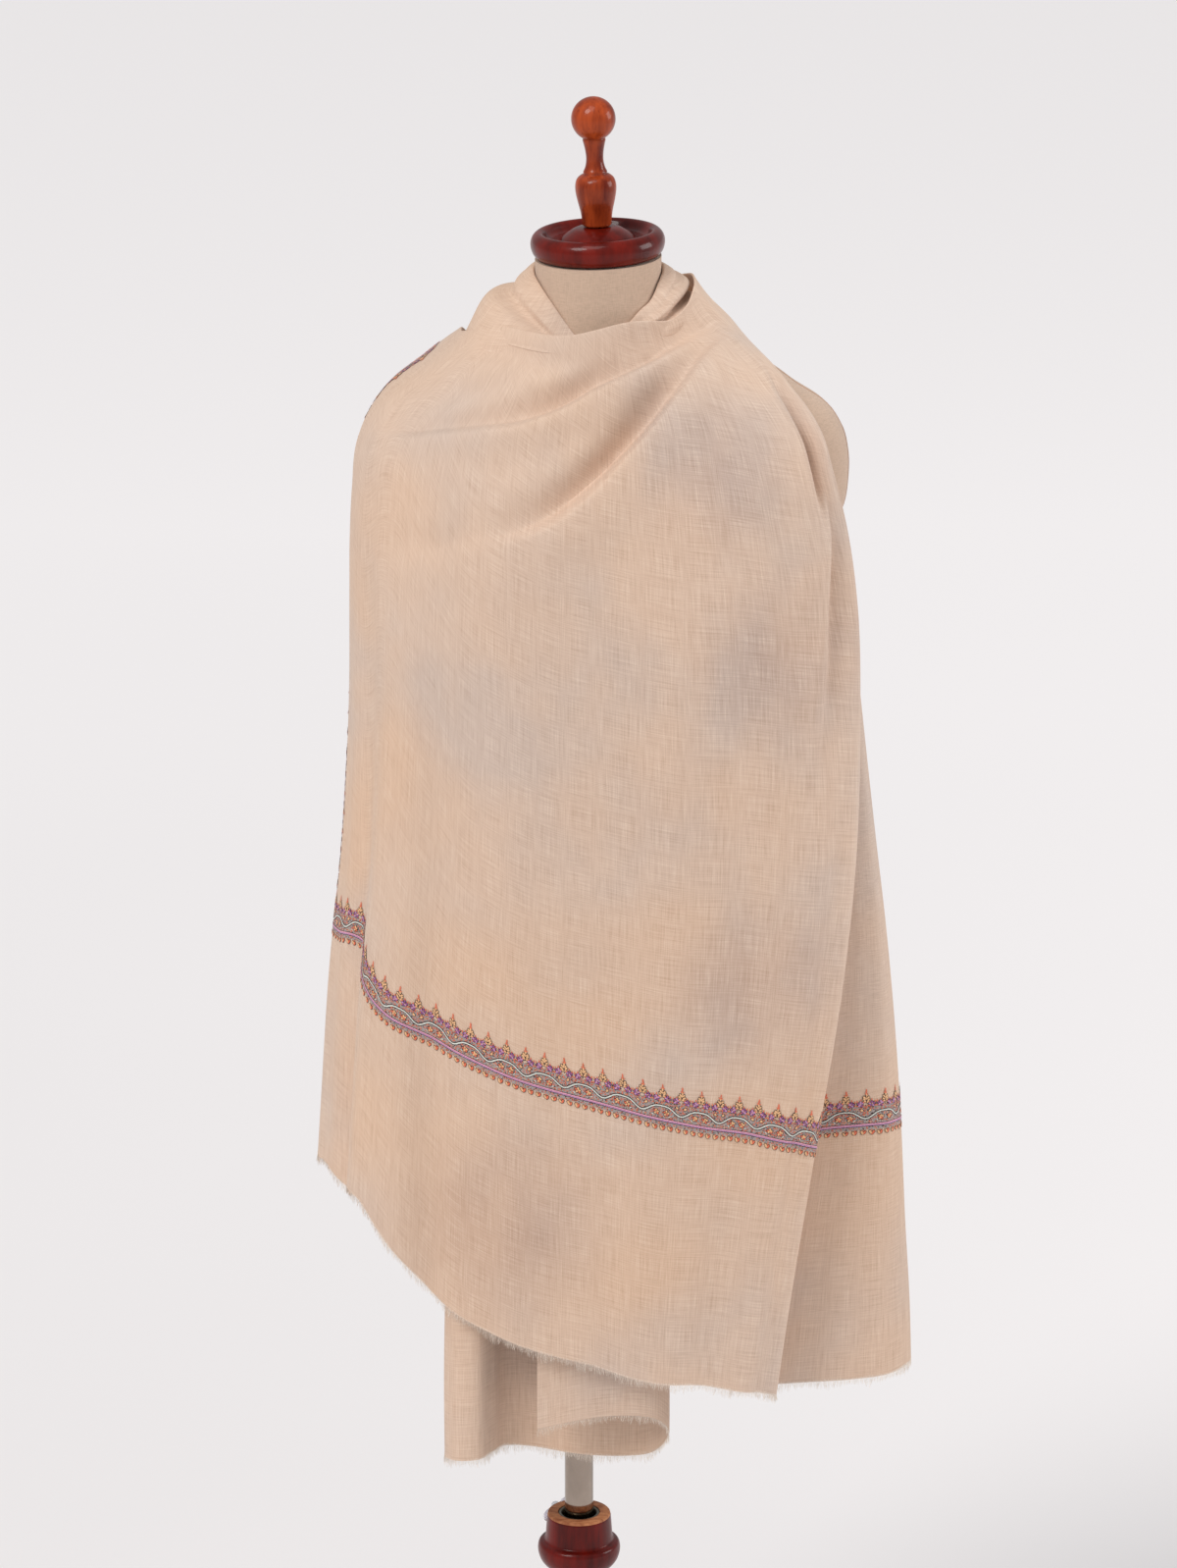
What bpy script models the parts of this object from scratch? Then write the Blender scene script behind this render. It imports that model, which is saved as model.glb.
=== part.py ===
"""Pashmina shawl draped on a limbless dress form with a turned wooden stand.

Metres, +Z up. The origin is the middle of the foot's underside, on the pole's axis.
The wearer's front faces -Y, and +X is on the right of someone who looks at that front.
"""

from collections import namedtuple
import math

import bmesh
import bpy
from mathutils import Vector
import numpy as np

# ---------------------------------------------------------------- driving sizes
SEAM = 0.0003  # clear gap between pieces that touch
CLOTH = 0.002  # thickness of the cloth wall

BASE_RADIUS = 0.165
BASE_HEIGHT = 0.030
COLUMN_TOP = 0.430
POLE_RADIUS = 0.0127
POLE_BOTTOM = 0.150
POLE_TOP = 0.930
BORE_BOTTOM = 0.100
BORE_RADIUS = POLE_RADIUS + 0.0005
LINER_RADIUS = 0.0183
LINER_BOTTOM = 0.370
LINER_MOUTH = 0.0157
LINER_MOUTH_DEPTH = 0.009
LINER_SINK = 0.0005  # the bush stands this far below the column's rim
SOCKET_RUN = 0.050  # length of the pole socket's guide below the torso

FORM_X = 0.0195  # middle of the torso, beside the pole's axis
FORM_TILT = 0.035  # rise of the form per metre towards +X
FORM_TILT_FROM = 0.85
FORM_TILT_FULL = 1.30
NECK_X = 0.0165
NECK_SHIFT_FROM = 1.5080  # rings from here up are centred on the neck
NECK_TOP = 1.5670
TILT_ANGLE = math.atan(FORM_TILT)
FINIAL_RISE = 0.0255  # height of the cap's boss, which carries the finial

SCREW_HEIGHT = 0.4155
SCREW_HEADING = math.radians(115.5)  # direction from the pole's axis, from +X towards +Y
SCREW_SHANK = 0.0032
SCREW_HUB = 0.0052
SCREW_HUB_NEAR = 0.0360
SCREW_HUB_FAR = 0.0500
SCREW_DRILL_RUN = 0.040
WING_THICKNESS = 0.0042
WING_ROLL = math.radians(28.0)

FRONT_X = 0.012  # the panel's foremost line
TURN_RADIUS = 0.004  # half-turn between the panel's lip and the side strip
FRINGE_DROP = 0.010  # frayed length below the woven hem
FRINGE_GAP = 0.0009  # drop from a woven edge to its fringe's backing strip
STRIP_DROP = 0.0020  # height of a fringe's backing strip
STRAND_SHARE = 0.55  # part of a fringe pitch that is strand
FRONT_STRANDS = 62
SIDE_STRANDS = 24
UNDER_STRANDS = 32

TORSO_SEGMENTS = 28
FRONT_COLUMNS = (6, 9, 12, 4)  # back, left, right and lip stretches of the front panel
FRONT_ROW_COUNTS = (4, 1, 4, 1, 8, 9)  # rows between the panel's guide lines

# ---------------------------------------------------------------- tables
TorsoRow = namedtuple("TorsoRow", "z half_width front back")
TORSO_ROWS = (
    TorsoRow(0.850, 0.166, 0.100, 0.104),
    TorsoRow(0.865, 0.171, 0.104, 0.109),
    TorsoRow(0.920, 0.171, 0.105, 0.109),
    TorsoRow(0.990, 0.158, 0.099, 0.097),
    TorsoRow(1.050, 0.141, 0.094, 0.083),
    TorsoRow(1.110, 0.133, 0.093, 0.079),
    TorsoRow(1.170, 0.140, 0.100, 0.084),
    TorsoRow(1.230, 0.152, 0.112, 0.091),
    TorsoRow(1.285, 0.168, 0.118, 0.097),
    TorsoRow(1.320, 0.190, 0.115, 0.100),
    TorsoRow(1.345, 0.2035, 0.111, 0.101),
    TorsoRow(1.370, 0.2075, 0.106, 0.100),
    TorsoRow(1.395, 0.2070, 0.100, 0.098),
    TorsoRow(1.4158, 0.2015, 0.094, 0.094),
    TorsoRow(1.4394, 0.1840, 0.086, 0.089),
    TorsoRow(1.4522, 0.1650, 0.081, 0.085),
    TorsoRow(1.470, 0.1410, 0.074, 0.080),
    TorsoRow(1.482, 0.1180, 0.069, 0.076),
    TorsoRow(1.497, 0.0890, 0.063, 0.069),
    TorsoRow(1.508, 0.0680, 0.059, 0.063),
    TorsoRow(1.520, 0.0570, 0.0555, 0.0570),
    TorsoRow(1.535, 0.0535, 0.0535, 0.0540),
    TorsoRow(NECK_TOP, 0.0529, 0.0529, 0.0529),
)

# One row for each level of the front panel: where its section has its back edge, its left reach,
# its foremost depth, its right fold and the end of the lip that is folded behind; square is the
# superellipse exponent of the two front quarters.
FrontRow = namedtuple(
    "FrontRow", "z back_x back_y left_x left_y front_y right_x right_y end_x end_y square"
)
FRONT_ROWS = (
    FrontRow(0.530, -0.188, 0.082, -0.2410, 0.028, -0.127, 0.1660, -0.080, 0.130, -0.056, 2.40),
    FrontRow(0.660, -0.184, 0.080, -0.2350, 0.026, -0.128, 0.1830, -0.076, 0.150, -0.052, 2.40),
    FrontRow(0.810, -0.178, 0.078, -0.2255, 0.022, -0.130, 0.2055, -0.070, 0.183, -0.050, 2.40),
    FrontRow(0.940, -0.172, 0.078, -0.2160, 0.018, -0.132, 0.2250, -0.064, 0.206, -0.046, 2.40),
    FrontRow(1.050, -0.166, 0.082, -0.2040, 0.014, -0.135, 0.2355, -0.058, 0.212, -0.038, 2.40),
    FrontRow(1.190, -0.162, 0.092, -0.1960, 0.010, -0.140, 0.2380, -0.055, 0.210, -0.034, 2.35),
    FrontRow(1.280, -0.160, 0.100, -0.1945, 0.006, -0.142, 0.2347, -0.060, 0.206, -0.042, 2.30),
    FrontRow(1.330, -0.158, 0.103, -0.1935, 0.003, -0.140, 0.2285, -0.070, 0.203, -0.058, 2.25),
    FrontRow(1.370, -0.155, 0.100, -0.1912, 0.002, -0.136, 0.2210, -0.084, 0.198, -0.074, 2.20),
    FrontRow(1.410, -0.150, 0.092, -0.1862, 0.002, -0.127, 0.2105, -0.086, 0.188, -0.076, 2.15),
    FrontRow(1.437, -0.140, 0.086, -0.1735, 0.003, -0.118, 0.2015, -0.078, 0.180, -0.068, 2.10),
    FrontRow(1.455, -0.130, 0.080, -0.1580, 0.004, -0.111, 0.1840, -0.068, 0.165, -0.058, 2.05),
    FrontRow(1.470, -0.118, 0.074, -0.1375, 0.004, -0.104, 0.1680, -0.060, 0.152, -0.050, 2.00),
    FrontRow(1.485, -0.100, 0.069, -0.1200, 0.002, -0.096, 0.1490, -0.047, 0.136, -0.036, 2.00),
    FrontRow(1.500, -0.082, 0.064, -0.1000, 0.000, -0.087, 0.1310, -0.018, 0.116, 0.010, 2.00),
    FrontRow(1.512, -0.068, 0.062, -0.0890, 0.000, -0.079, 0.1195, 0.000, 0.094, 0.050, 2.00),
    FrontRow(1.526, -0.055, 0.060, -0.0760, 0.002, -0.072, 0.1090, 0.005, 0.078, 0.066, 2.00),
    FrontRow(1.545, -0.040, 0.055, -0.0560, 0.004, -0.066, 0.0985, 0.010, 0.064, 0.067, 2.00),
    FrontRow(1.560, -0.030, 0.050, -0.0450, 0.004, -0.060, 0.0900, 0.015, 0.060, 0.060, 2.00),
)

# Heights of the front panel's guide lines. turn runs round a section in degrees: -180 back edge,
# -90 left reach, 0 foremost, 90 right fold, 180 end of the lip. high is the upper edge, cowl and
# gather are the two folds that fan over the chest, step is how far below each its ridge stands,
# chest is where the rows level out, and low is the tip of the fray.
GuideRow = namedtuple("GuideRow", "turn high cowl gather step chest low")
GUIDE_ROWS = (
    GuideRow(-180, 1.4880, 1.4540, 1.4030, 0.012, 1.230, 0.765),
    GuideRow(-135, 1.4960, 1.4460, 1.3880, 0.012, 1.230, 0.757),
    GuideRow(-90, 1.5035, 1.4360, 1.3710, 0.012, 1.230, 0.750),
    GuideRow(-80, 1.5070, 1.4345, 1.3670, 0.012, 1.230, 0.752),
    GuideRow(-68, 1.5120, 1.4330, 1.3620, 0.012, 1.230, 0.736),
    GuideRow(-56, 1.5165, 1.4360, 1.3580, 0.012, 1.230, 0.752),
    GuideRow(-50, 1.5180, 1.4390, 1.3570, 0.012, 1.230, 0.747),
    GuideRow(-45, 1.5184, 1.4425, 1.3560, 0.012, 1.230, 0.726),
    GuideRow(-40, 1.5180, 1.4455, 1.3560, 0.012, 1.230, 0.704),
    GuideRow(-30, 1.5168, 1.4510, 1.3580, 0.012, 1.231, 0.660),
    GuideRow(-20, 1.5160, 1.4570, 1.3640, 0.012, 1.233, 0.638),
    GuideRow(-10, 1.5172, 1.4690, 1.3800, 0.012, 1.236, 0.622),
    GuideRow(0, 1.5205, 1.4835, 1.4070, 0.011, 1.240, 0.612),
    GuideRow(10, 1.5245, 1.4940, 1.4395, 0.010, 1.245, 0.602),
    GuideRow(20, 1.5270, 1.5025, 1.4670, 0.009, 1.250, 0.594),
    GuideRow(31, 1.5275, 1.5109, 1.4885, 0.008, 1.256, 0.590),
    GuideRow(45, 1.5280, 1.5168, 1.5028, 0.006, 1.262, 0.582),
    GuideRow(60, 1.5335, 1.5190, 1.5090, 0.005, 1.270, 0.576),
    GuideRow(75, 1.5420, 1.5200, 1.5110, 0.005, 1.275, 0.570),
    GuideRow(90, 1.5460, 1.5200, 1.5100, 0.005, 1.280, 0.564),
    GuideRow(135, 1.5410, 1.5170, 1.5070, 0.006, 1.280, 0.560),
    GuideRow(180, 1.5300, 1.5120, 1.5000, 0.006, 1.280, 0.560),
)

# A crease is a groove (or a ridge, with a minus) that runs along a guide line: drop is where it lies
# in steps below the line, below and above are its spreads on either side.
CreaseRow = namedtuple("CreaseRow", "turn depth")
Crease = namedtuple("Crease", "line drop below above rows")
CREASES = (
    Crease("cowl", 0.0, 0.008, 0.024, (
        CreaseRow(-74, 0.000),
        CreaseRow(-54, 0.004),
        CreaseRow(-38, 0.008),
        CreaseRow(-20, 0.012),
        CreaseRow(-5, 0.015),
        CreaseRow(10, 0.014),
        CreaseRow(30, 0.009),
        CreaseRow(50, 0.004),
        CreaseRow(66, 0.000),
    )),
    Crease("cowl", 1.0, 0.030, 0.007, (
        CreaseRow(-74, 0.000),
        CreaseRow(-54, -0.002),
        CreaseRow(-38, -0.003),
        CreaseRow(-20, -0.005),
        CreaseRow(-5, -0.006),
        CreaseRow(10, -0.005),
        CreaseRow(30, -0.003),
        CreaseRow(50, -0.001),
        CreaseRow(66, 0.000),
    )),
    Crease("gather", 0.0, 0.008, 0.026, (
        CreaseRow(-24, 0.000),
        CreaseRow(-14, 0.006),
        CreaseRow(-5, 0.012),
        CreaseRow(7, 0.016),
        CreaseRow(17, 0.015),
        CreaseRow(31, 0.010),
        CreaseRow(50, 0.005),
        CreaseRow(72, 0.000),
    )),
    Crease("gather", 1.0, 0.045, 0.007, (
        CreaseRow(-24, 0.000),
        CreaseRow(-14, -0.003),
        CreaseRow(-5, -0.007),
        CreaseRow(7, -0.010),
        CreaseRow(17, -0.010),
        CreaseRow(31, -0.008),
        CreaseRow(50, -0.005),
        CreaseRow(72, 0.000),
    )),
    Crease("high", 1.4, 0.009, 0.009, (
        CreaseRow(-62, 0.000),
        CreaseRow(-46, 0.004),
        CreaseRow(-30, 0.005),
        CreaseRow(-12, 0.003),
        CreaseRow(4, 0.000),
    )),
)

# A fold is a groove that hangs: at each height, the turn where it lies and how far the cloth goes
# in (minus for a ridge); before and after are its spreads in degrees.
FoldRow = namedtuple("FoldRow", "z turn depth")
Fold = namedtuple("Fold", "before after rows")
HANGING_FOLDS = (
    Fold(8.0, 9.0, (  # trough behind the left corner
        FoldRow(0.530, -68, 0.024),
        FoldRow(0.700, -68, 0.024),
        FoldRow(0.850, -67, 0.021),
        FoldRow(1.000, -66, 0.016),
        FoldRow(1.150, -64, 0.010),
        FoldRow(1.300, -62, 0.004),
        FoldRow(1.400, -60, 0.000),
    )),
    Fold(8.0, 14.0, (  # the left corner itself
        FoldRow(0.530, -52, -0.009),
        FoldRow(0.800, -52, -0.008),
        FoldRow(1.000, -51, -0.006),
        FoldRow(1.200, -50, -0.003),
        FoldRow(1.350, -49, 0.000),
    )),
    Fold(4.0, 12.0, (  # outer fold of the right shoulder
        FoldRow(1.080, 50, 0.000),
        FoldRow(1.150, 55, 0.004),
        FoldRow(1.220, 60, 0.010),
        FoldRow(1.280, 65, 0.014),
        FoldRow(1.320, 69, 0.013),
        FoldRow(1.370, 76, 0.007),
        FoldRow(1.420, 82, 0.000),
    )),
    Fold(5.0, 9.0, (  # the pocket inside it
        FoldRow(1.350, 66, 0.000),
        FoldRow(1.380, 68, 0.007),
        FoldRow(1.410, 70, 0.013),
        FoldRow(1.435, 70, 0.012),
        FoldRow(1.460, 71, 0.006),
        FoldRow(1.480, 72, 0.000),
    )),
    Fold(20.0, 5.0, (  # the edge in front of the pocket
        FoldRow(1.370, 56, 0.000),
        FoldRow(1.390, 57, -0.003),
        FoldRow(1.420, 59, -0.005),
        FoldRow(1.460, 60, -0.003),
        FoldRow(1.490, 62, 0.000),
    )),
    Fold(12.0, 9.0, (  # soft fall below the left breast
        FoldRow(0.530, -26, 0.005),
        FoldRow(0.800, -26, 0.005),
        FoldRow(1.100, -28, 0.004),
        FoldRow(1.350, -30, 0.000),
    )),
    Fold(9.0, 12.0, (  # soft fall below the gather
        FoldRow(0.530, 36, 0.006),
        FoldRow(0.850, 38, 0.006),
        FoldRow(1.100, 34, 0.004),
        FoldRow(1.300, 30, 0.000),
    )),
)

# The strip beyond the panel's right fold: its outer reach and its free back edge.
SideRow = namedtuple("SideRow", "z reach_x reach_y back_x back_y")
SIDE_ROWS = (
    SideRow(0.530, 0.2955, 0.025, 0.226, 0.102),
    SideRow(0.620, 0.2925, 0.024, 0.228, 0.100),
    SideRow(0.700, 0.2872, 0.022, 0.230, 0.098),
    SideRow(0.790, 0.2822, 0.020, 0.230, 0.094),
    SideRow(0.880, 0.2755, 0.018, 0.230, 0.088),
    SideRow(0.970, 0.2665, 0.014, 0.228, 0.080),
    SideRow(1.060, 0.2553, 0.010, 0.225, 0.070),
    SideRow(1.190, 0.2400, 0.000, 0.218, 0.045),
    SideRow(1.260, 0.2320, -0.015, 0.224, 0.010),
    SideRow(1.310, 0.2275, -0.034, 0.224, -0.024),
    SideRow(1.345, 0.2235, -0.050, 0.220, -0.045),
    SideRow(1.400, 0.2150, -0.064, 0.212, -0.060),
)
SIDE_COLUMNS = (4, 9, 6)  # half-turn, front and back stretches
SIDE_ROW_COUNT = 14  # the panel's lowest rows, which the strip shares
SIDE_LOW = (0.560, 0.558, 0.566)  # fray tips at the half-turn, the reach and the back edge

# The stretch round the neck: heading runs from the front (0) by +X (90) and the back (180).
# high and inner are the height and radius of its upper edge, low and outer of its foot; bulge is
# its roundness, and a crease parts its two rolls at a share of the way down.
NeckRow = namedtuple("NeckRow", "heading high inner low outer bulge crease_at crease")
NECK_ROWS = (
    NeckRow(24, 1.5200, 0.0588, 1.5120, 0.0620, 0.001, 0.60, 0.000),
    NeckRow(37, 1.5300, 0.0575, 1.5200, 0.0640, 0.002, 0.65, 0.001),
    NeckRow(52, 1.5375, 0.0568, 1.5240, 0.0680, 0.004, 0.68, 0.003),
    NeckRow(66, 1.5490, 0.0562, 1.5250, 0.0745, 0.006, 0.68, 0.006),
    NeckRow(90, 1.5575, 0.0560, 1.5230, 0.0835, 0.009, 0.68, 0.010),
    NeckRow(115, 1.5590, 0.0560, 1.5160, 0.0840, 0.009, 0.64, 0.008),
    NeckRow(150, 1.5600, 0.0562, 1.5050, 0.0880, 0.009, 0.50, 0.005),
    NeckRow(180, 1.5600, 0.0562, 1.4970, 0.0980, 0.009, 0.40, 0.005),
    NeckRow(215, 1.5600, 0.0562, 1.4920, 0.1040, 0.009, 0.34, 0.005),
    NeckRow(250, 1.5585, 0.0560, 1.4880, 0.1120, 0.006, 0.30, 0.006),
    NeckRow(270, 1.5560, 0.0560, 1.4860, 0.1140, 0.004, 0.30, 0.006),
    NeckRow(296, 1.5490, 0.0560, 1.4850, 0.1100, 0.004, 0.32, 0.006),
    NeckRow(318, 1.5345, 0.0565, 1.4860, 0.0930, 0.003, 0.40, 0.003),
    NeckRow(335, 1.5185, 0.0590, 1.4850, 0.0850, 0.002, 0.40, 0.000),
    NeckRow(345, 1.5090, 0.0640, 1.4870, 0.0800, 0.001, 0.40, 0.000),
)
NECK_COLUMNS = 32
NECK_ROW_COUNT = 10
NECK_CREASE_WIDTH = 0.14

# The other end, which hangs under the panel: its section at the hem, and how each level scales it.
UnderPoint = namedtuple("UnderPoint", "x y low")
UNDER_PLAN = (
    UnderPoint(-0.092, -0.046, 0.514),
    UnderPoint(-0.110, -0.058, 0.512),
    UnderPoint(-0.117, -0.078, 0.508),
    UnderPoint(-0.106, -0.098, 0.511),
    UnderPoint(-0.086, -0.100, 0.513),
    UnderPoint(-0.074, -0.082, 0.513),
    UnderPoint(-0.064, -0.062, 0.510),
    UnderPoint(-0.040, -0.055, 0.506),
    UnderPoint(0.000, -0.058, 0.500),
    UnderPoint(0.040, -0.062, 0.500),
    UnderPoint(0.066, -0.070, 0.508),
    UnderPoint(0.078, -0.086, 0.533),
    UnderPoint(0.064, -0.102, 0.553),
    UnderPoint(0.030, -0.106, 0.557),
    UnderPoint(-0.004, -0.106, 0.552),
    UnderPoint(-0.036, -0.102, 0.5426),
)
UNDER_MIDDLE = (-0.0195, -0.078)
# follow is how strongly a level bends back from the middle with the panel over it.
UnderRow = namedtuple("UnderRow", "z middle_x middle_y wide deep follow")
UNDER_ROWS = (
    UnderRow(0.500, -0.0195, -0.078, 1.00, 1.00, 0.0),
    UnderRow(0.600, -0.0195, -0.079, 1.00, 1.00, 0.0),
    UnderRow(0.700, -0.0200, -0.083, 0.97, 0.85, 0.2),
    UnderRow(0.780, -0.0220, -0.096, 0.92, 0.50, 0.5),
    UnderRow(0.850, -0.0240, -0.1140, 0.88, 0.16, 0.9),
    UnderRow(0.950, -0.0260, -0.1160, 0.82, 0.12, 0.9),
    UnderRow(1.050, -0.0300, -0.1160, 0.76, 0.12, 1.2),
    UnderRow(1.190, -0.0340, -0.1230, 0.66, 0.12, 1.3),
    UnderRow(1.280, -0.0370, -0.1280, 0.60, 0.10, 1.3),
    UnderRow(1.370, -0.0420, -0.1111, 0.52, 0.08, 1.3),
    UnderRow(1.440, -0.0480, -0.0896, 0.46, 0.08, 1.3),
    UnderRow(1.470, -0.0500, -0.0810, 0.44, 0.08, 1.3),
)
UNDER_TOP = 1.460
UNDER_COLUMNS = 30
UNDER_ROW_COUNT = 14

# Turned profiles: radius and height, from the axis at the foot round to the axis at the top.
CAP_PROFILE = (
    (0.0, 0.0), (0.0500, 0.0), (0.0545, 0.0040), (0.0567, 0.0115), (0.0555, 0.0175), (0.0522, 0.0214),
    (0.0483, 0.0228), (0.0452, 0.0210), (0.0430, 0.0165), (0.0390, 0.0145), (0.0320, 0.0145),
    (0.0300, 0.0175), (0.0250, 0.0210), (0.0170, FINIAL_RISE), (0.0, FINIAL_RISE),
)
FINIAL_STEM = (
    (0.0, 0.0), (0.0120, 0.0), (0.0122, 0.0045), (0.0134, 0.0130), (0.0157, 0.0220), (0.0172, 0.0300),
    (0.0173, 0.0355), (0.0158, 0.0408), (0.0120, 0.0438), (0.0098, 0.0446), (0.0102, 0.0464),
    (0.0084, 0.0495), (0.0073, 0.0545), (0.0071, 0.0590), (0.0078, 0.0650), (0.0090, 0.0705),
    (0.0097, 0.0728), (0.0094, 0.0748),
)
BALL_RADIUS = 0.01855
BALL_HEIGHT = 0.0908
BALL_STEPS = 9
COLUMN_OUTSIDE = (
    (0.0500, BASE_HEIGHT + SEAM), (0.0540, 0.0345), (0.0540, 0.0400), (0.0460, 0.0480), (0.0330, 0.0600),
    (0.0255, 0.0850), (0.0235, 0.1300), (0.0250, 0.2000), (0.0288, 0.2750), (0.0296, 0.3200),
    (0.0262, 0.3580), (0.0245, 0.3680), (0.0270, 0.3780), (0.0305, 0.3815), (0.0345, 0.3865),
    (0.0366, 0.3935), (0.0366, 0.3990), (0.0350, 0.4030), (0.0312, 0.4040), (0.0298, 0.4055),
    (0.0292, 0.4150), (0.0283, 0.4270), (0.0276, COLUMN_TOP),
)
BASE_PROFILE = (
    (0.0, 0.0), (0.1600, 0.0), (BASE_RADIUS, 0.0040), (BASE_RADIUS, 0.0120), (0.1600, 0.0175),
    (0.1500, 0.0190), (0.1440, 0.0225), (0.1000, 0.0275), (0.0600, BASE_HEIGHT), (0.0, BASE_HEIGHT),
)

# One ear of the wing screw: how far out from the screw's axis, and how far across the ear.
WING_OUTLINE = (
    (0.0015, -0.0030), (0.0095, -0.0062), (0.0150, -0.0048), (0.0162, 0.0),
    (0.0150, 0.0048), (0.0095, 0.0062), (0.0015, 0.0030),
)

# ---------------------------------------------------------------- materials
Finish = namedtuple("Finish", "colour roughness metallic")
FINISHES = {
    "cloth": Finish((0.72, 0.60, 0.46), 0.85, 0.0),
    "fray": Finish((0.78, 0.68, 0.56), 0.90, 0.0),
    "linen": Finish((0.60, 0.46, 0.35), 0.90, 0.0),
    "finial_wood": Finish((0.36, 0.07, 0.02), 0.22, 0.0),
    "stand_wood": Finish((0.16, 0.020, 0.010), 0.22, 0.0),
    "steel": Finish((0.42, 0.40, 0.38), 0.25, 1.0),
    "dark_steel": Finish((0.16, 0.14, 0.12), 0.35, 1.0),
    "clear_plastic": Finish((0.86, 0.87, 0.88), 0.12, 0.0),
}


def give_material(thing, finish_name):
    """Put a Principled material of its own on an object."""
    finish = FINISHES[finish_name]
    material = bpy.data.materials.new(thing.name)
    material.use_nodes = True
    shader = material.node_tree.nodes["Principled BSDF"]
    shader.inputs["Base Color"].default_value = (*finish.colour, 1.0)
    shader.inputs["Roughness"].default_value = finish.roughness
    shader.inputs["Metallic"].default_value = finish.metallic
    thing.data.materials.append(material)


def add_object(name, mesh, finish_name, smooth_angle=40.0):
    """Link a mesh as a named object with its own material, shaded smooth but for sharp edges."""
    mesh.shade_smooth()
    mesh.set_sharp_from_angle(angle=math.radians(smooth_angle))
    thing = bpy.data.objects.new(name, mesh)
    bpy.context.scene.collection.objects.link(thing)
    give_material(thing, finish_name)
    return thing


# ---------------------------------------------------------------- tables read as smooth curves
def column(rows, name):
    """One column of a table as an array."""
    return np.array([getattr(row, name) for row in rows], dtype=float)


def smooth(knots, values, at):
    """Cubic through the knots, with slopes from the neighbours; flat beyond both ends."""
    slopes = np.gradient(values, knots)
    at = np.clip(at, knots[0], knots[-1])
    left = np.clip(np.searchsorted(knots, at, side="right") - 1, 0, len(knots) - 2)
    span = knots[left + 1] - knots[left]
    t = (at - knots[left]) / span
    start = (1 + 2 * t) * (1 - t) ** 2
    start_slope = t * (1 - t) ** 2
    end = t**2 * (3 - 2 * t)
    end_slope = t**2 * (t - 1)
    return (
        start * values[left]
        + start_slope * span * slopes[left]
        + end * values[left + 1]
        + end_slope * span * slopes[left + 1]
    )


def read(rows, key, name, at):
    """The named column of a table, read at places on its key column."""
    return smooth(column(rows, key), column(rows, name), at)


def bell(distance, before, after):
    """A bell of height 1 at distance 0, with a spread of its own on each side."""
    return np.exp(-((distance / np.where(distance < 0.0, before, after)) ** 2))


def fold_depth(fold, turn, z):
    """How far a hanging fold takes the cloth in."""
    across = turn - read(fold.rows, "z", "turn", z)
    return read(fold.rows, "z", "depth", z) * bell(across, fold.before, fold.after)


def crease_depth(crease, turn, z):
    """How far a crease over the chest takes the cloth in."""
    line = read(GUIDE_ROWS, "turn", crease.line, turn)
    line = line - crease.drop * read(GUIDE_ROWS, "turn", "step", turn)
    return read(crease.rows, "turn", "depth", turn) * bell(z - line, crease.below, crease.above)


# ---------------------------------------------------------------- mesh helpers
def outward(points):
    """Unit normals of a grid, on the side that faces away from the form."""
    down = np.gradient(points, axis=0)
    over = np.gradient(points, axis=1)
    normal = np.cross(down, over)
    return normal / np.linalg.norm(normal, axis=2, keepdims=True)


def wall_mesh(name, outer, inner):
    """A closed wall between two grids of points, which run down and to the viewer's right."""
    rows, columns, _ = outer.shape
    mesh_bm = bmesh.new()
    front, back = (
        [[mesh_bm.verts.new(grid[r, c]) for c in range(columns)] for r in range(rows)]
        for grid in (outer, inner)
    )
    for r in range(rows - 1):
        for c in range(columns - 1):
            mesh_bm.faces.new((front[r][c], front[r + 1][c], front[r + 1][c + 1], front[r][c + 1]))
            mesh_bm.faces.new((back[r][c], back[r][c + 1], back[r + 1][c + 1], back[r + 1][c]))
    for r in range(rows - 1):
        mesh_bm.faces.new((front[r][0], back[r][0], back[r + 1][0], front[r + 1][0]))
        mesh_bm.faces.new((front[r][-1], front[r + 1][-1], back[r + 1][-1], back[r][-1]))
    for c in range(columns - 1):
        mesh_bm.faces.new((front[0][c], front[0][c + 1], back[0][c + 1], back[0][c]))
        mesh_bm.faces.new((front[-1][c], back[-1][c], back[-1][c + 1], front[-1][c + 1]))
    mesh = bpy.data.meshes.new(name)
    mesh_bm.to_mesh(mesh)
    mesh_bm.free()
    return mesh


def add_cloth(name, outer):
    """A cloth wall: the grid is its outer face. Returns the lower edge of both faces."""
    inner = outer - outward(outer) * CLOTH
    add_object(name, wall_mesh(name, outer, inner), "cloth", smooth_angle=60.0)
    return outer[-1], inner[-1]


def turned_mesh(name, profile, segments):
    """Spin a profile of radius and height about Z."""
    mesh_bm = bmesh.new()
    verts = [mesh_bm.verts.new((radius, 0.0, height)) for radius, height in profile]
    edges = [mesh_bm.edges.new(pair) for pair in zip(verts, verts[1:])]
    bmesh.ops.spin(
        mesh_bm,
        geom=verts + edges,
        cent=(0, 0, 0),
        axis=(0, 0, 1),
        angle=2 * math.pi,
        steps=segments,
        use_duplicate=False,
    )
    bmesh.ops.remove_doubles(mesh_bm, verts=mesh_bm.verts, dist=1e-6)
    bmesh.ops.recalc_face_normals(mesh_bm, faces=mesh_bm.faces)
    mesh = bpy.data.meshes.new(name)
    mesh_bm.to_mesh(mesh)
    mesh_bm.free()
    return mesh


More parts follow.
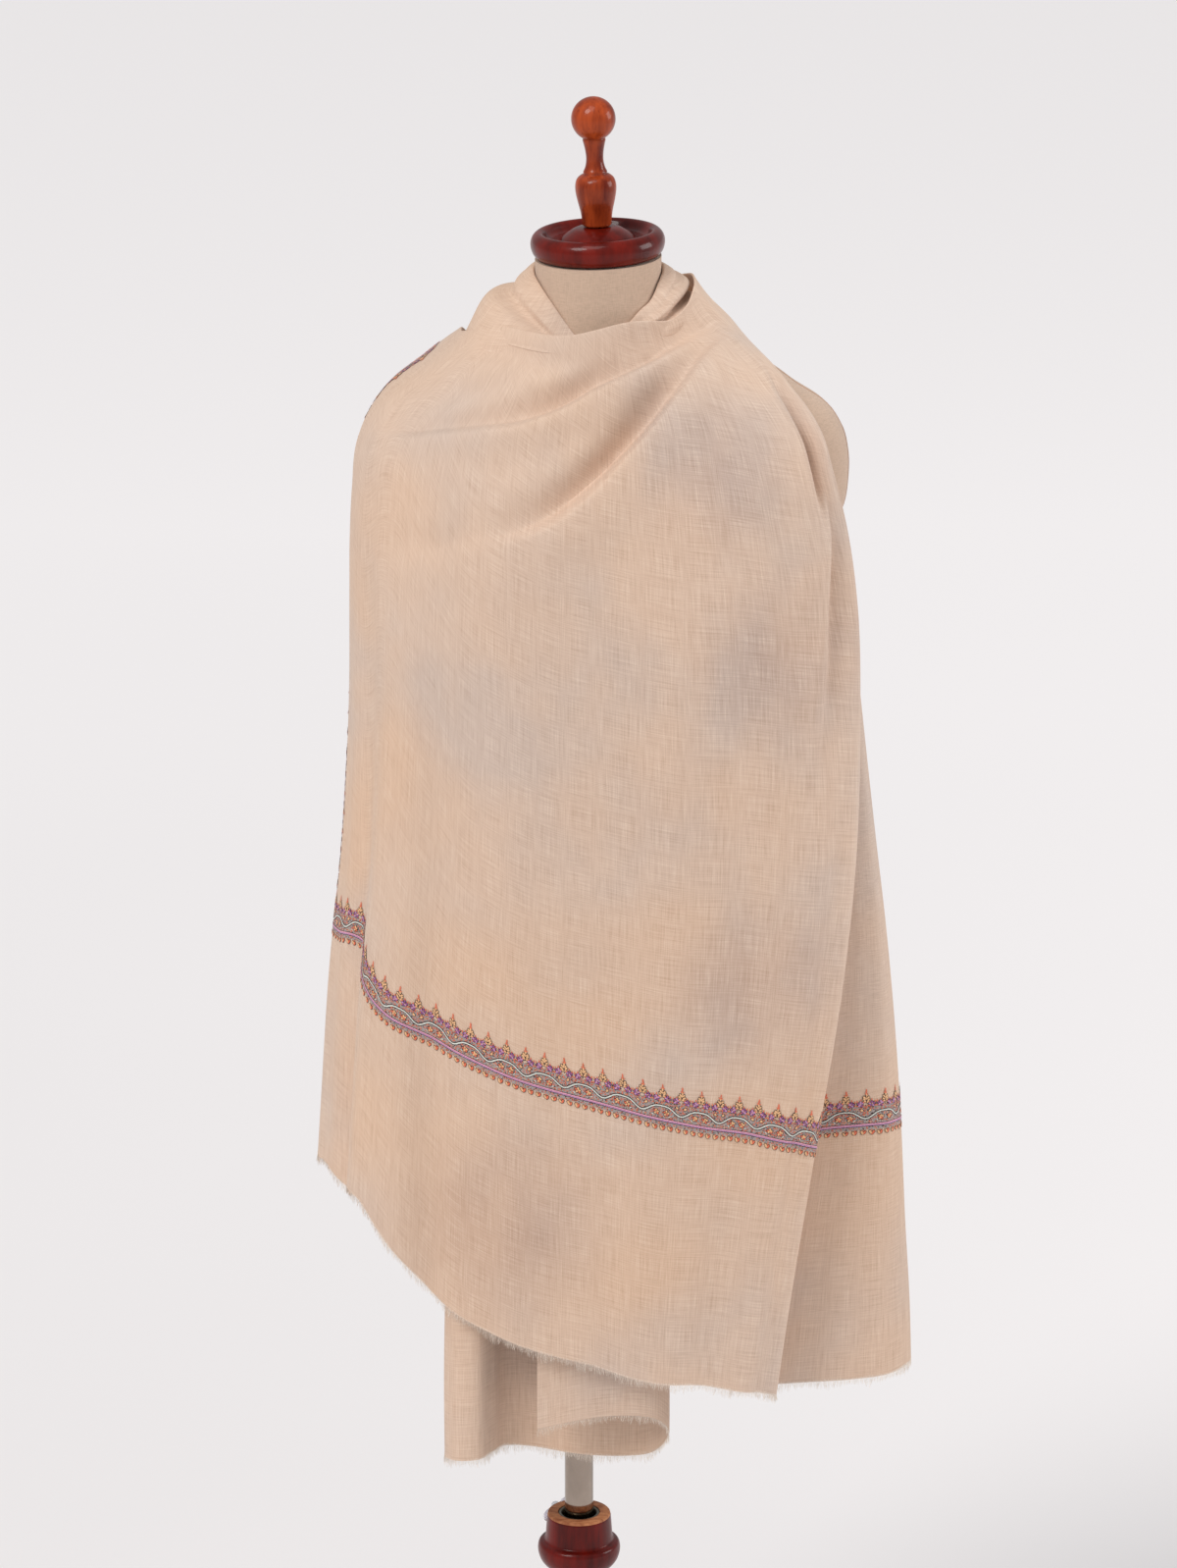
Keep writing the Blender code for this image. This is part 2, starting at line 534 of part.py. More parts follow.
def add_cutter(name, mesh):
    """A guide for a Boolean, left out of the build."""
    cutter = bpy.data.objects.new(name, mesh)
    bpy.context.scene.collection.objects.link(cutter)
    cutter.hide_render = True
    cutter.display_type = "WIRE"
    return cutter


def cut(thing, cutter, operation="DIFFERENCE"):
    """Cut or join with a guide, by the exact solver."""
    boolean = thing.modifiers.new(cutter.name, "BOOLEAN")
    boolean.operation = operation
    boolean.solver = "EXACT"
    boolean.object = cutter


def rod_mesh(name, start, end, radius, segments):
    """A closed cylinder between two points."""
    start = Vector(start)
    end = Vector(end)
    mesh_bm = bmesh.new()
    bmesh.ops.create_cone(
        mesh_bm,
        cap_ends=True,
        segments=segments,
        radius1=radius,
        radius2=radius,
        depth=(end - start).length,
    )
    turn = (end - start).to_track_quat("Z", "Y").to_matrix().to_4x4()
    turn.translation = (start + end) / 2
    bmesh.ops.transform(mesh_bm, matrix=turn, verts=mesh_bm.verts)
    mesh = bpy.data.meshes.new(name)
    mesh_bm.to_mesh(mesh)
    mesh_bm.free()
    return mesh


# ---------------------------------------------------------------- dress form and stand
def form_tilt(z):
    """How much of the form's sideways tilt holds at a height: none at the hips, all from the chest."""
    t = np.clip((z - FORM_TILT_FROM) / (FORM_TILT_FULL - FORM_TILT_FROM), 0.0, 1.0)
    return FORM_TILT * t * t * (3 - 2 * t)


def build_torso():
    """A stack of oval rings from the hips to the top of the neck, with a socket for the pole."""
    mesh_bm = bmesh.new()
    angles = np.linspace(0.0, 2 * math.pi, TORSO_SEGMENTS, endpoint=False)
    rings = []
    for row in TORSO_ROWS:
        depth = np.where(np.cos(angles) > 0, row.front, row.back)
        middle = NECK_X + (FORM_X - NECK_X) * float(row.z < NECK_SHIFT_FROM)
        x = middle + row.half_width * np.sin(angles)
        y = -depth * np.cos(angles)
        z = row.z + form_tilt(row.z) * (x - middle)
        rings.append([mesh_bm.verts.new(place) for place in zip(x, y, z)])
    for lower, upper in zip(rings, rings[1:]):
        for i in range(TORSO_SEGMENTS):
            j = (i + 1) % TORSO_SEGMENTS
            mesh_bm.faces.new((lower[i], lower[j], upper[j], upper[i]))
    mesh_bm.faces.new(rings[-1])
    mesh_bm.faces.new(list(reversed(rings[0])))
    bmesh.ops.recalc_face_normals(mesh_bm, faces=mesh_bm.faces)
    mesh = bpy.data.meshes.new("torso")
    mesh_bm.to_mesh(mesh)
    mesh_bm.free()
    torso = add_object("torso", mesh, "linen")
    below = (0.0, 0.0, TORSO_ROWS[0].z - SOCKET_RUN)
    socket = rod_mesh("pole_socket", below, (0.0, 0.0, POLE_TOP + SEAM), POLE_RADIUS + SEAM, 24)
    cut(torso, add_cutter("pole_socket", socket))


def stand_on_neck(thing, height):
    """Set a turned piece on the neck, tilted as the form is."""
    thing.rotation_euler = (0.0, -TILT_ANGLE, 0.0)
    lean = math.sin(TILT_ANGLE) * height
    thing.location = (NECK_X - lean, 0.0, NECK_TOP + math.cos(TILT_ANGLE) * height)


def build_cap_and_finial():
    """The dished cap on the neck, and the turned knob on its boss."""
    cap = add_object("neck_cap", turned_mesh("neck_cap", CAP_PROFILE, 28), "stand_wood")
    stand_on_neck(cap, SEAM)
    first = math.asin(FINIAL_STEM[-1][0] / BALL_RADIUS)
    sweep = np.linspace(math.pi - first, 0.0, BALL_STEPS)[1:]
    ball = [(BALL_RADIUS * math.sin(a), BALL_HEIGHT + BALL_RADIUS * math.cos(a)) for a in sweep[:-1]]
    ball.append((0.0, BALL_HEIGHT + BALL_RADIUS))
    finial = add_object("finial", turned_mesh("finial", FINIAL_STEM + tuple(ball), 16), "finial_wood")
    stand_on_neck(finial, FINIAL_RISE + 2 * SEAM)


def build_stand():
    """The round foot, the turned column with its bore, the metal bush and the pole."""
    add_object("base", turned_mesh("base", BASE_PROFILE, 40), "stand_wood")
    bore = (
        (LINER_RADIUS + SEAM, COLUMN_TOP),
        (LINER_RADIUS + SEAM, LINER_BOTTOM - SEAM),
        (BORE_RADIUS, LINER_BOTTOM - SEAM),
        (BORE_RADIUS, BORE_BOTTOM),
        (0.0, BORE_BOTTOM),
    )
    foot = ((0.0, COLUMN_OUTSIDE[0][1]),)
    turned_column = turned_mesh("column", foot + COLUMN_OUTSIDE + bore, 24)
    wooden_column = add_object("column", turned_column, "stand_wood")
    mouth = COLUMN_TOP - LINER_MOUTH_DEPTH
    lip = COLUMN_TOP - LINER_SINK
    guide = POLE_RADIUS + SEAM
    bush = (
        (guide, LINER_BOTTOM), (LINER_RADIUS, LINER_BOTTOM), (LINER_RADIUS, lip),
        (LINER_MOUTH, lip), (LINER_MOUTH, mouth), (guide, mouth), (guide, LINER_BOTTOM),
    )
    liner = add_object("collar_liner", turned_mesh("collar_liner", bush, 24), "dark_steel")
    pole_mesh = rod_mesh("pole", (0.0, 0.0, POLE_BOTTOM), (0.0, 0.0, POLE_TOP), POLE_RADIUS, 24)
    add_object("pole", pole_mesh, "steel")
    return wooden_column, liner


def build_wing_screw(drilled):
    """The clear screw that clamps the pole, through a hole in the pieces given."""
    out = Vector((math.cos(SCREW_HEADING), math.sin(SCREW_HEADING), 0.0))
    level = Vector((0.0, 0.0, SCREW_HEIGHT))
    tip = level + out * (POLE_RADIUS + SEAM)
    drill = rod_mesh("screw_hole", level, level + out * SCREW_DRILL_RUN, SCREW_SHANK + SEAM, 12)
    hole = add_cutter("screw_hole", drill)
    for thing in drilled:
        cut(thing, hole)
    middle = level + out * (SCREW_HUB_NEAR + SCREW_HUB_FAR) / 2
    hub_near = level + out * SCREW_HUB_NEAR
    hub_far = level + out * SCREW_HUB_FAR
    hub_mesh = rod_mesh("wing_screw", hub_near - middle, hub_far - middle, SCREW_HUB, 12)
    screw = add_object("wing_screw", hub_mesh, "clear_plastic")
    screw.location = middle
    shank_mesh = rod_mesh("screw_shank", tip, middle, SCREW_SHANK, 12)
    cut(screw, add_cutter("screw_shank", shank_mesh), "UNION")
    side = out.cross(Vector((0.0, 0.0, 1.0)))
    for name, sign in (("wing_left", -1.0), ("wing_right", 1.0)):
        along = (side * math.cos(WING_ROLL) + Vector((0, 0, 1)) * math.sin(WING_ROLL)) * sign
        wing = wing_mesh(name, middle, along, out)
        cut(screw, add_cutter(name, wing), "UNION")


def wing_mesh(name, middle, along, out):
    """One ear of the wing screw: a rounded plate that widens away from the hub."""
    up = along.cross(out)
    mesh_bm = bmesh.new()
    near = middle - out * WING_THICKNESS / 2
    verts = [mesh_bm.verts.new(near + along * a + up * b) for a, b in WING_OUTLINE]
    plate = mesh_bm.faces.new(verts)
    grown = bmesh.ops.extrude_face_region(mesh_bm, geom=[plate])
    moved = [item for item in grown["geom"] if isinstance(item, bmesh.types.BMVert)]
    bmesh.ops.translate(mesh_bm, vec=out * WING_THICKNESS, verts=moved)
    bmesh.ops.recalc_face_normals(mesh_bm, faces=mesh_bm.faces)
    mesh = bpy.data.meshes.new(name)
    mesh_bm.to_mesh(mesh)
    mesh_bm.free()
    return mesh


# ---------------------------------------------------------------- the shawl's front panel
def front_plan(turn, z):
    """X and Y of the panel's section at a height, without its folds."""
    left = turn < 0
    angle = np.radians(np.abs(turn))
    reach_x = np.where(left, read(FRONT_ROWS, "z", "left_x", z), read(FRONT_ROWS, "z", "right_x", z))
    reach_y = np.where(left, read(FRONT_ROWS, "z", "left_y", z), read(FRONT_ROWS, "z", "right_y", z))
    tail_x = np.where(left, read(FRONT_ROWS, "z", "back_x", z), read(FRONT_ROWS, "z", "end_x", z))
    tail_y = np.where(left, read(FRONT_ROWS, "z", "back_y", z), read(FRONT_ROWS, "z", "end_y", z))
    front_y = read(FRONT_ROWS, "z", "front_y", z)
    square = read(FRONT_ROWS, "z", "square", z)
    quarter = np.clip(angle, 0.0, math.pi / 2)
    swell = (np.sin(quarter) ** square + np.cos(quarter) ** square) ** (-1.0 / square)
    x = FRONT_X + (reach_x - FRONT_X) * np.sin(quarter) * swell
    y = reach_y + (front_y - reach_y) * np.cos(quarter) * swell
    beyond = np.clip(angle - math.pi / 2, 0.0, math.pi / 2)
    tail = angle > math.pi / 2
    x = np.where(tail, tail_x + (reach_x - tail_x) * np.cos(beyond), x)
    y = np.where(tail, reach_y + (tail_y - reach_y) * np.sin(beyond), y)
    return x, y


def front_grid(turn, z):
    """Outer points of the panel on a grid of turns and heights, folds included."""
    x, y = front_plan(turn, z)
    points = np.stack((x, y, z), axis=2)
    depth = sum(crease_depth(crease, turn, z) for crease in CREASES)
    depth = depth + sum(fold_depth(fold, turn, z) for fold in HANGING_FOLDS)
    return points - outward(points) * depth[:, :, None]


def spaced(stops, counts):
    """Stations that divide each stretch between stops into equal steps."""
    stretches = [np.linspace(a, b, n, endpoint=False) for a, b, n in zip(stops, stops[1:], counts)]
    return np.append(np.concatenate(stretches), stops[-1])


def front_heights(turns, levels):
    """Height of each level on each turn; a whole level is a guide line, from the upper edge down."""
    step = read(GUIDE_ROWS, "turn", "step", turns)
    cowl = read(GUIDE_ROWS, "turn", "cowl", turns)
    gather = read(GUIDE_ROWS, "turn", "gather", turns)
    lines = np.stack((
        read(GUIDE_ROWS, "turn", "high", turns),
        cowl,
        cowl - step,
        gather,
        gather - step,
        read(GUIDE_ROWS, "turn", "chest", turns),
        read(GUIDE_ROWS, "turn", "low", turns) + FRINGE_DROP,
    ))
    above = np.clip(np.floor(levels).astype(int), 0, len(lines) - 2)
    share = (levels - above)[:, None]
    return lines[above] * (1.0 - share) + lines[above + 1] * share


def build_front():
    """The front panel, from its neckline to the woven hem, and its fray."""
    turns = spaced((-180.0, -90.0, 0.0, 90.0, 180.0), FRONT_COLUMNS)
    z = front_heights(turns, spaced(range(7), FRONT_ROW_COUNTS))
    turn = np.broadcast_to(turns, z.shape)
    add_fringe("fringe_front", add_cloth("shawl_front", front_grid(turn, z)), FRONT_STRANDS)


# ---------------------------------------------------------------- the strip at the side
def side_plan(place, z):
    """X and Y of the strip: place is 0 to 1 on the half-turn, to 2 along the front, to 3 at the back."""
    end_x = read(FRONT_ROWS, "z", "end_x", z)
    end_y = read(FRONT_ROWS, "z", "end_y", z)
    reach_x = read(SIDE_ROWS, "z", "reach_x", z)
    reach_y = read(SIDE_ROWS, "z", "reach_y", z)
    back_x = read(SIDE_ROWS, "z", "back_x", z)
    back_y = read(SIDE_ROWS, "z", "back_y", z)
    start_y = end_y + 2 * TURN_RADIUS
    bend = np.clip(place, 0.0, 1.0) * math.pi
    run = np.clip(place - 1.0, 0.0, 1.0) * math.pi / 2
    tail = np.clip(place - 2.0, 0.0, 1.0) * math.pi / 2
    x = end_x - SEAM - TURN_RADIUS * np.sin(bend)
    y = end_y + TURN_RADIUS * (1.0 - np.cos(bend))
    x = np.where(place > 1.0, end_x - SEAM + (reach_x - end_x + SEAM) * np.sin(run), x)
    y = np.where(place > 1.0, reach_y + (start_y - reach_y) * np.cos(run), y)
    x = np.where(place > 2.0, back_x + (reach_x - back_x) * np.cos(tail), x)
    y = np.where(place > 2.0, reach_y + (back_y - reach_y) * np.sin(tail), y)
    return x, y


def side_grid(place, z):
    """Outer points of the side strip."""
    x, y = side_plan(place, z)
    return np.stack((x, y, z), axis=2)


def side_hem(place):
    """Height of the fray's tips along the strip."""
    return smooth(np.array([1.0, 2.0, 3.0]), np.array(SIDE_LOW), place)


def build_side():
    """The strip that hangs beyond the panel's right fold, and its fray."""
    places = spaced((0.0, 1.0, 2.0, 3.0), SIDE_COLUMNS)
    seam = front_heights(np.array([180.0]), spaced(range(7), FRONT_ROW_COUNTS))[-SIDE_ROW_COUNT:]
    share = (seam[0] - seam) / (seam[0] - seam[-1])
    z = seam[0] + (side_hem(places) + FRINGE_DROP - seam[0]) * share
    place = np.broadcast_to(places, z.shape)
    add_fringe("fringe_side", add_cloth("shawl_side", side_grid(place, z)), SIDE_STRANDS)


# ---------------------------------------------------------------- the stretch round the neck
def neck_grid(heading, share):
    """Outer points of the neck stretch: share runs from its inner top edge to its outer foot."""
    high = read(NECK_ROWS, "heading", "high", heading)
    inner = read(NECK_ROWS, "heading", "inner", heading)
    low = read(NECK_ROWS, "heading", "low", heading)
    outer = read(NECK_ROWS, "heading", "outer", heading)
    bulge = read(NECK_ROWS, "heading", "bulge", heading)
    from_crease = share - read(NECK_ROWS, "heading", "crease_at", heading)
    crease = read(NECK_ROWS, "heading", "crease", heading) * bell(
        from_crease, NECK_CREASE_WIDTH, NECK_CREASE_WIDTH
    )
    lift = (bulge - crease) * np.sin(math.pi * share)
    slant = np.hypot(outer - inner, high - low)
    radius = inner + (outer - inner) * share + lift * (high - low) / slant
    height = high + (low - high) * share + lift * (outer - inner) / slant
    angle = np.radians(heading)
    x = NECK_X + radius * np.sin(angle)
    y = -radius * np.cos(angle)
    return np.stack((x, y, height), axis=2)


def build_neck():
    """The gathered cloth round the neck."""
    headings = np.linspace(NECK_ROWS[0].heading, NECK_ROWS[-1].heading, NECK_COLUMNS)
    shares = np.linspace(0.0, 1.0, NECK_ROW_COUNT)
    heading, share = np.meshgrid(headings, shares)
    add_cloth("shawl_neck", neck_grid(heading, share))


# ---------------------------------------------------------------- the end under the panel
def under_line(name, place):
    """A column of the section table, read at places from 0 to 1 along it."""
    knots = np.linspace(0.0, 1.0, len(UNDER_PLAN))
    return smooth(knots, column(UNDER_PLAN, name), place)


def under_grid(place, z):
    """Outer points of the hanging end: the hem's section, scaled and moved at each level."""
    wide = read(UNDER_ROWS, "z", "wide", z)
    deep = read(UNDER_ROWS, "z", "deep", z)
    x = read(UNDER_ROWS, "z", "middle_x", z) + wide * (under_line("x", place) - UNDER_MIDDLE[0])
    y = read(UNDER_ROWS, "z", "middle_y", z) + deep * (under_line("y", place) - UNDER_MIDDLE[1])
    y = y + read(UNDER_ROWS, "z", "follow", z) * np.minimum(x - FRONT_X, 0.0) ** 2
    return np.stack((x, y, z), axis=2)


def under_hem(place):
    """Height of the fray's tips along the hanging end."""
    return under_line("low", place)


def build_under():
    """The shawl's other end and its fray."""
    places = np.linspace(0.0, 1.0, UNDER_COLUMNS)
    low = under_hem(places) + FRINGE_DROP
    z = UNDER_TOP + (low - UNDER_TOP) * np.linspace(0.0, 1.0, UNDER_ROW_COUNT)[:, None]
    place = np.broadcast_to(places, z.shape)
    add_fringe("fringe_under", add_cloth("shawl_under", under_grid(place, z)), UNDER_STRANDS)


# ---------------------------------------------------------------- frayed ends
def along_edge(edge, stations):
    """Points on a woven edge at fractional column numbers."""
    columns = np.arange(len(edge))
    return np.column_stack([np.interp(stations, columns, edge[:, axis]) for axis in range(3)])


def add_fringe(name, edges, strands):
    """A backing strip just below the woven edge, with a tapered strand on every other step."""
    pitch = (len(edges[0]) - 1) / strands
    starts = pitch * np.arange(strands)
    pairs = np.column_stack((starts, starts + pitch * STRAND_SHARE))
    stations = np.append(np.ravel(pairs), len(edges[0]) - 1)
    outer, inner = (along_edge(edge, stations) for edge in edges)
    drop = np.array((0.0, 0.0, 1.0))
    top = -drop * FRINGE_GAP
    foot_drop = -drop * (FRINGE_GAP + STRIP_DROP)
    mesh_bm = bmesh.new()
    ring = [
        [mesh_bm.verts.new(place) for place in (a + top, b + top, b + foot_drop, a + foot_drop)]
        for a, b in zip(outer, inner)
    ]
    mesh_bm.faces.new(ring[0])
    mesh_bm.faces.new(list(reversed(ring[-1])))
    for i, (here, there) in enumerate(zip(ring, ring[1:])):
        for a, b in ((0, 1), (1, 2), (3, 0)):
            mesh_bm.faces.new((here[b], here[a], there[a], there[b]))
        foot = (here[3], here[2], there[2], there[3])
        if i % 2:
            mesh_bm.faces.new(foot)
            continue
        middle = (outer[i] + inner[i] + outer[i + 1] + inner[i + 1]) / 4
        tip = mesh_bm.verts.new(middle - drop * FRINGE_DROP)
        for a, b in zip(foot, foot[1:] + foot[:1]):
            mesh_bm.faces.new((a, b, tip))
    bmesh.ops.recalc_face_normals(mesh_bm, faces=mesh_bm.faces)
    mesh = bpy.data.meshes.new(name)
    mesh_bm.to_mesh(mesh)
    mesh_bm.free()
    add_object(name, mesh, "fray")


def main():
    """Clear the scene and build every piece."""
    for thing in list(bpy.data.objects):
        bpy.data.objects.remove(thing, do_unlink=True)
    build_torso()
    build_cap_and_finial()
    drilled = build_stand()
    build_wing_screw(drilled)
    build_front()
    build_side()
    build_neck()
    build_under()


main()
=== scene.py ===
"""Looks of the pashmina shawl on its dress form: cloth, embroidery, fray, linen, wood and metal.

Metres, +Z up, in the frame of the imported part: the origin is the middle of the foot's underside,
the wearer's front faces -Y, and +X is on the right of someone who looks at that front.
"""

import logging
import math
from dataclasses import dataclass
from enum import Enum
from typing import Callable, NamedTuple, Optional, Sequence, Union

import bmesh
import bpy
import numpy as np
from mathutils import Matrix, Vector

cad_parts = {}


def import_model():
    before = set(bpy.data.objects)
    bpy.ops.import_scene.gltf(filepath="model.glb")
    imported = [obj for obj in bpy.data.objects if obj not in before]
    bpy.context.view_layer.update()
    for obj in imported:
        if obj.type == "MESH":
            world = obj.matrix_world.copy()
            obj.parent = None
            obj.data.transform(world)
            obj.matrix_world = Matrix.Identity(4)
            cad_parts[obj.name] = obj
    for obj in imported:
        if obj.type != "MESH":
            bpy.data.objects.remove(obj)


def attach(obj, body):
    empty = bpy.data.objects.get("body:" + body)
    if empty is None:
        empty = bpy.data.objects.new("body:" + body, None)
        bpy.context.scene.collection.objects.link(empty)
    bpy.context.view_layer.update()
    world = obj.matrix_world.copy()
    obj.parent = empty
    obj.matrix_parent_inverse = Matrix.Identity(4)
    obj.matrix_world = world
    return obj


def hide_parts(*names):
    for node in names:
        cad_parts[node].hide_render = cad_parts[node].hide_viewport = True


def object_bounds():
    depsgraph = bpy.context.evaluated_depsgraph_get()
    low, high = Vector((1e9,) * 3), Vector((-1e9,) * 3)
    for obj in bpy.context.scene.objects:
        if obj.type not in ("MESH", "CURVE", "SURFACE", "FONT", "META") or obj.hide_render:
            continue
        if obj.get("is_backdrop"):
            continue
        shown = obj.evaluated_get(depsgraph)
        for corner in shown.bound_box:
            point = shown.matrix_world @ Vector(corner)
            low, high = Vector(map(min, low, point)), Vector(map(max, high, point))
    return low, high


LOG = logging.getLogger("pashmina")
Material = bpy.types.Material
Socket = bpy.types.NodeSocket
Feed = Union[Socket, tuple, float]


def table(kind: Callable, *rows: tuple) -> tuple:
    """Rows of one kind, each with its named columns."""
    return tuple(kind(*row) for row in rows)


# ---- driving sizes
CLOTH = 0.0006  # thickness of the woven cloth
SEAM = 0.0003  # room between two pieces
STITCH_LIFT = 0.00035  # how far the embroidery stands off the cloth
RANDOM_SEED = 7
MERGE = 0.000005  # points nearer than this are one

POLE_RADIUS = 0.0127
POLE_BOTTOM = 0.150
POLE_TOP = 0.930
COLUMN_TOP = 0.430
BORE_RADIUS = 0.0132
BORE_BOTTOM = 0.100
LINER_RADIUS = 0.0183
LINER_BOTTOM = 0.370
LINER_MOUTH = 0.0157
LINER_MOUTH_DEPTH = 0.009
BASE_RADIUS = 0.165
BASE_HEIGHT = 0.030

FORM_X = 0.0195  # middle of the torso
FORM_TILT = 0.035  # rise of the form per metre towards +X
FORM_TILT_FROM = 0.85
FORM_TILT_FULL = 1.30
NECK_X = 0.0165
NECK_SHIFT_FROM = 1.5080
NECK_TOP = 1.5670
SEAM_TOP = 1.5050  # the seams stop under the neck
TILT_ANGLE = math.atan(FORM_TILT)
FINIAL_RISE = 0.0255

SCREW_HEIGHT = 0.4155
SCREW_HEADING = math.radians(115.5)
SCREW_SHANK = 0.0032
SCREW_HUB_NEAR = 0.0360
SCREW_HUB_FAR = 0.0500
WING_ROLL = math.radians(28.0)

FRONT_X = 0.012
TURN_RADIUS = 0.004
FRINGE_DROP = 0.010

# ---- picture
IMAGE_HEIGHT = 1598
FOCAL_PIXELS = 6500.0
SENSOR = 36.0
CAMERA_TARGET = (0.0084, 0.0, 1.106)
CAMERA_DISTANCE = 5.46
CAMERA_PITCH = math.radians(17.3)

# ---- tables


class TorsoRow(NamedTuple):
    """One ring of the torso."""

    z: float
    half_width: float
    front: float
    back: float


TORSO_ROWS = table(
    TorsoRow,
    (0.850, 0.166, 0.100, 0.104),
    (0.865, 0.171, 0.104, 0.109),
    (0.920, 0.171, 0.105, 0.109),
    (0.990, 0.158, 0.099, 0.097),
    (1.050, 0.141, 0.094, 0.083),
    (1.110, 0.133, 0.093, 0.079),
    (1.170, 0.140, 0.100, 0.084),
    (1.230, 0.152, 0.112, 0.091),
    (1.285, 0.168, 0.118, 0.097),
    (1.320, 0.190, 0.115, 0.100),
    (1.345, 0.2035, 0.111, 0.101),
    (1.370, 0.2075, 0.106, 0.100),
    (1.395, 0.2070, 0.100, 0.098),
    (1.4158, 0.2015, 0.094, 0.094),
    (1.4394, 0.1840, 0.086, 0.089),
    (1.4522, 0.1650, 0.081, 0.085),
    (1.470, 0.1410, 0.074, 0.080),
    (1.482, 0.1180, 0.069, 0.076),
    (1.497, 0.0890, 0.063, 0.069),
    (1.508, 0.0680, 0.059, 0.063),
    (1.520, 0.0570, 0.0555, 0.0570),
    (1.535, 0.0535, 0.0535, 0.0540),
    (NECK_TOP, 0.0529, 0.0529, 0.0529),
)

# One row for each level of the front panel: where its section has its back edge, its left reach,
# its foremost depth, its right fold and the end of the lip that is folded behind; square is the
# superellipse exponent of the two front quarters.


class FrontRow(NamedTuple):
    """One level of the front panel's section."""

    z: float
    back_x: float
    back_y: float
    left_x: float
    left_y: float
    front_y: float
    right_x: float
    right_y: float
    end_x: float
    end_y: float
    square: float


FRONT_ROWS = table(
    FrontRow,
    (0.530, -0.188, 0.082, -0.2410, 0.028, -0.127, 0.1660, -0.080, 0.130, -0.056, 2.40),
    (0.660, -0.184, 0.080, -0.2350, 0.026, -0.128, 0.1830, -0.076, 0.150, -0.052, 2.40),
    (0.810, -0.178, 0.078, -0.2255, 0.022, -0.130, 0.2055, -0.070, 0.183, -0.050, 2.40),
    (0.940, -0.172, 0.078, -0.2160, 0.018, -0.132, 0.2250, -0.064, 0.206, -0.046, 2.40),
    (1.050, -0.166, 0.082, -0.2040, 0.014, -0.135, 0.2355, -0.058, 0.212, -0.038, 2.40),
    (1.190, -0.162, 0.092, -0.1960, 0.010, -0.140, 0.2380, -0.055, 0.210, -0.034, 2.35),
    (1.280, -0.160, 0.100, -0.1945, 0.006, -0.142, 0.2347, -0.060, 0.206, -0.042, 2.30),
    (1.330, -0.158, 0.103, -0.1935, 0.003, -0.140, 0.2285, -0.070, 0.203, -0.058, 2.25),
    (1.370, -0.155, 0.100, -0.1912, 0.002, -0.136, 0.2210, -0.084, 0.198, -0.074, 2.20),
    (1.410, -0.150, 0.092, -0.1862, 0.002, -0.127, 0.2105, -0.086, 0.188, -0.076, 2.15),
    (1.437, -0.140, 0.086, -0.1735, 0.003, -0.118, 0.2015, -0.078, 0.180, -0.068, 2.10),
    (1.455, -0.130, 0.080, -0.1580, 0.004, -0.111, 0.1900, -0.068, 0.171, -0.058, 2.05),
    (1.470, -0.118, 0.074, -0.1375, 0.004, -0.104, 0.1770, -0.060, 0.160, -0.050, 2.00),
    (1.485, -0.100, 0.069, -0.1200, 0.002, -0.096, 0.1630, -0.047, 0.149, -0.036, 2.00),
    (1.500, -0.082, 0.064, -0.1000, 0.000, -0.087, 0.1420, -0.018, 0.126, 0.010, 2.00),
    (1.512, -0.068, 0.062, -0.0890, 0.000, -0.079, 0.1285, 0.000, 0.102, 0.050, 2.00),
    (1.526, -0.055, 0.060, -0.0760, 0.002, -0.072, 0.1130, 0.005, 0.081, 0.066, 2.00),
    (1.545, -0.040, 0.055, -0.0560, 0.004, -0.066, 0.0985, 0.010, 0.064, 0.067, 2.00),
    (1.560, -0.030, 0.050, -0.0450, 0.004, -0.060, 0.0900, 0.015, 0.060, 0.060, 2.00),
)

# Heights of the front panel's guide lines. turn runs round a section in degrees: -180 back edge,
# -90 left reach, 0 foremost, 90 right fold, 180 end of the lip. high is the upper edge, cowl and
# gather are the two folds that fan over the chest, step is how far below each its ridge stands,
# chest is where the rows level out, and low is the tip of the fray.


class GuideRow(NamedTuple):
    """Heights of the front panel's guide lines on one turn."""

    turn: float
    high: float
    cowl: float
    gather: float
    step: float
    chest: float
    low: float


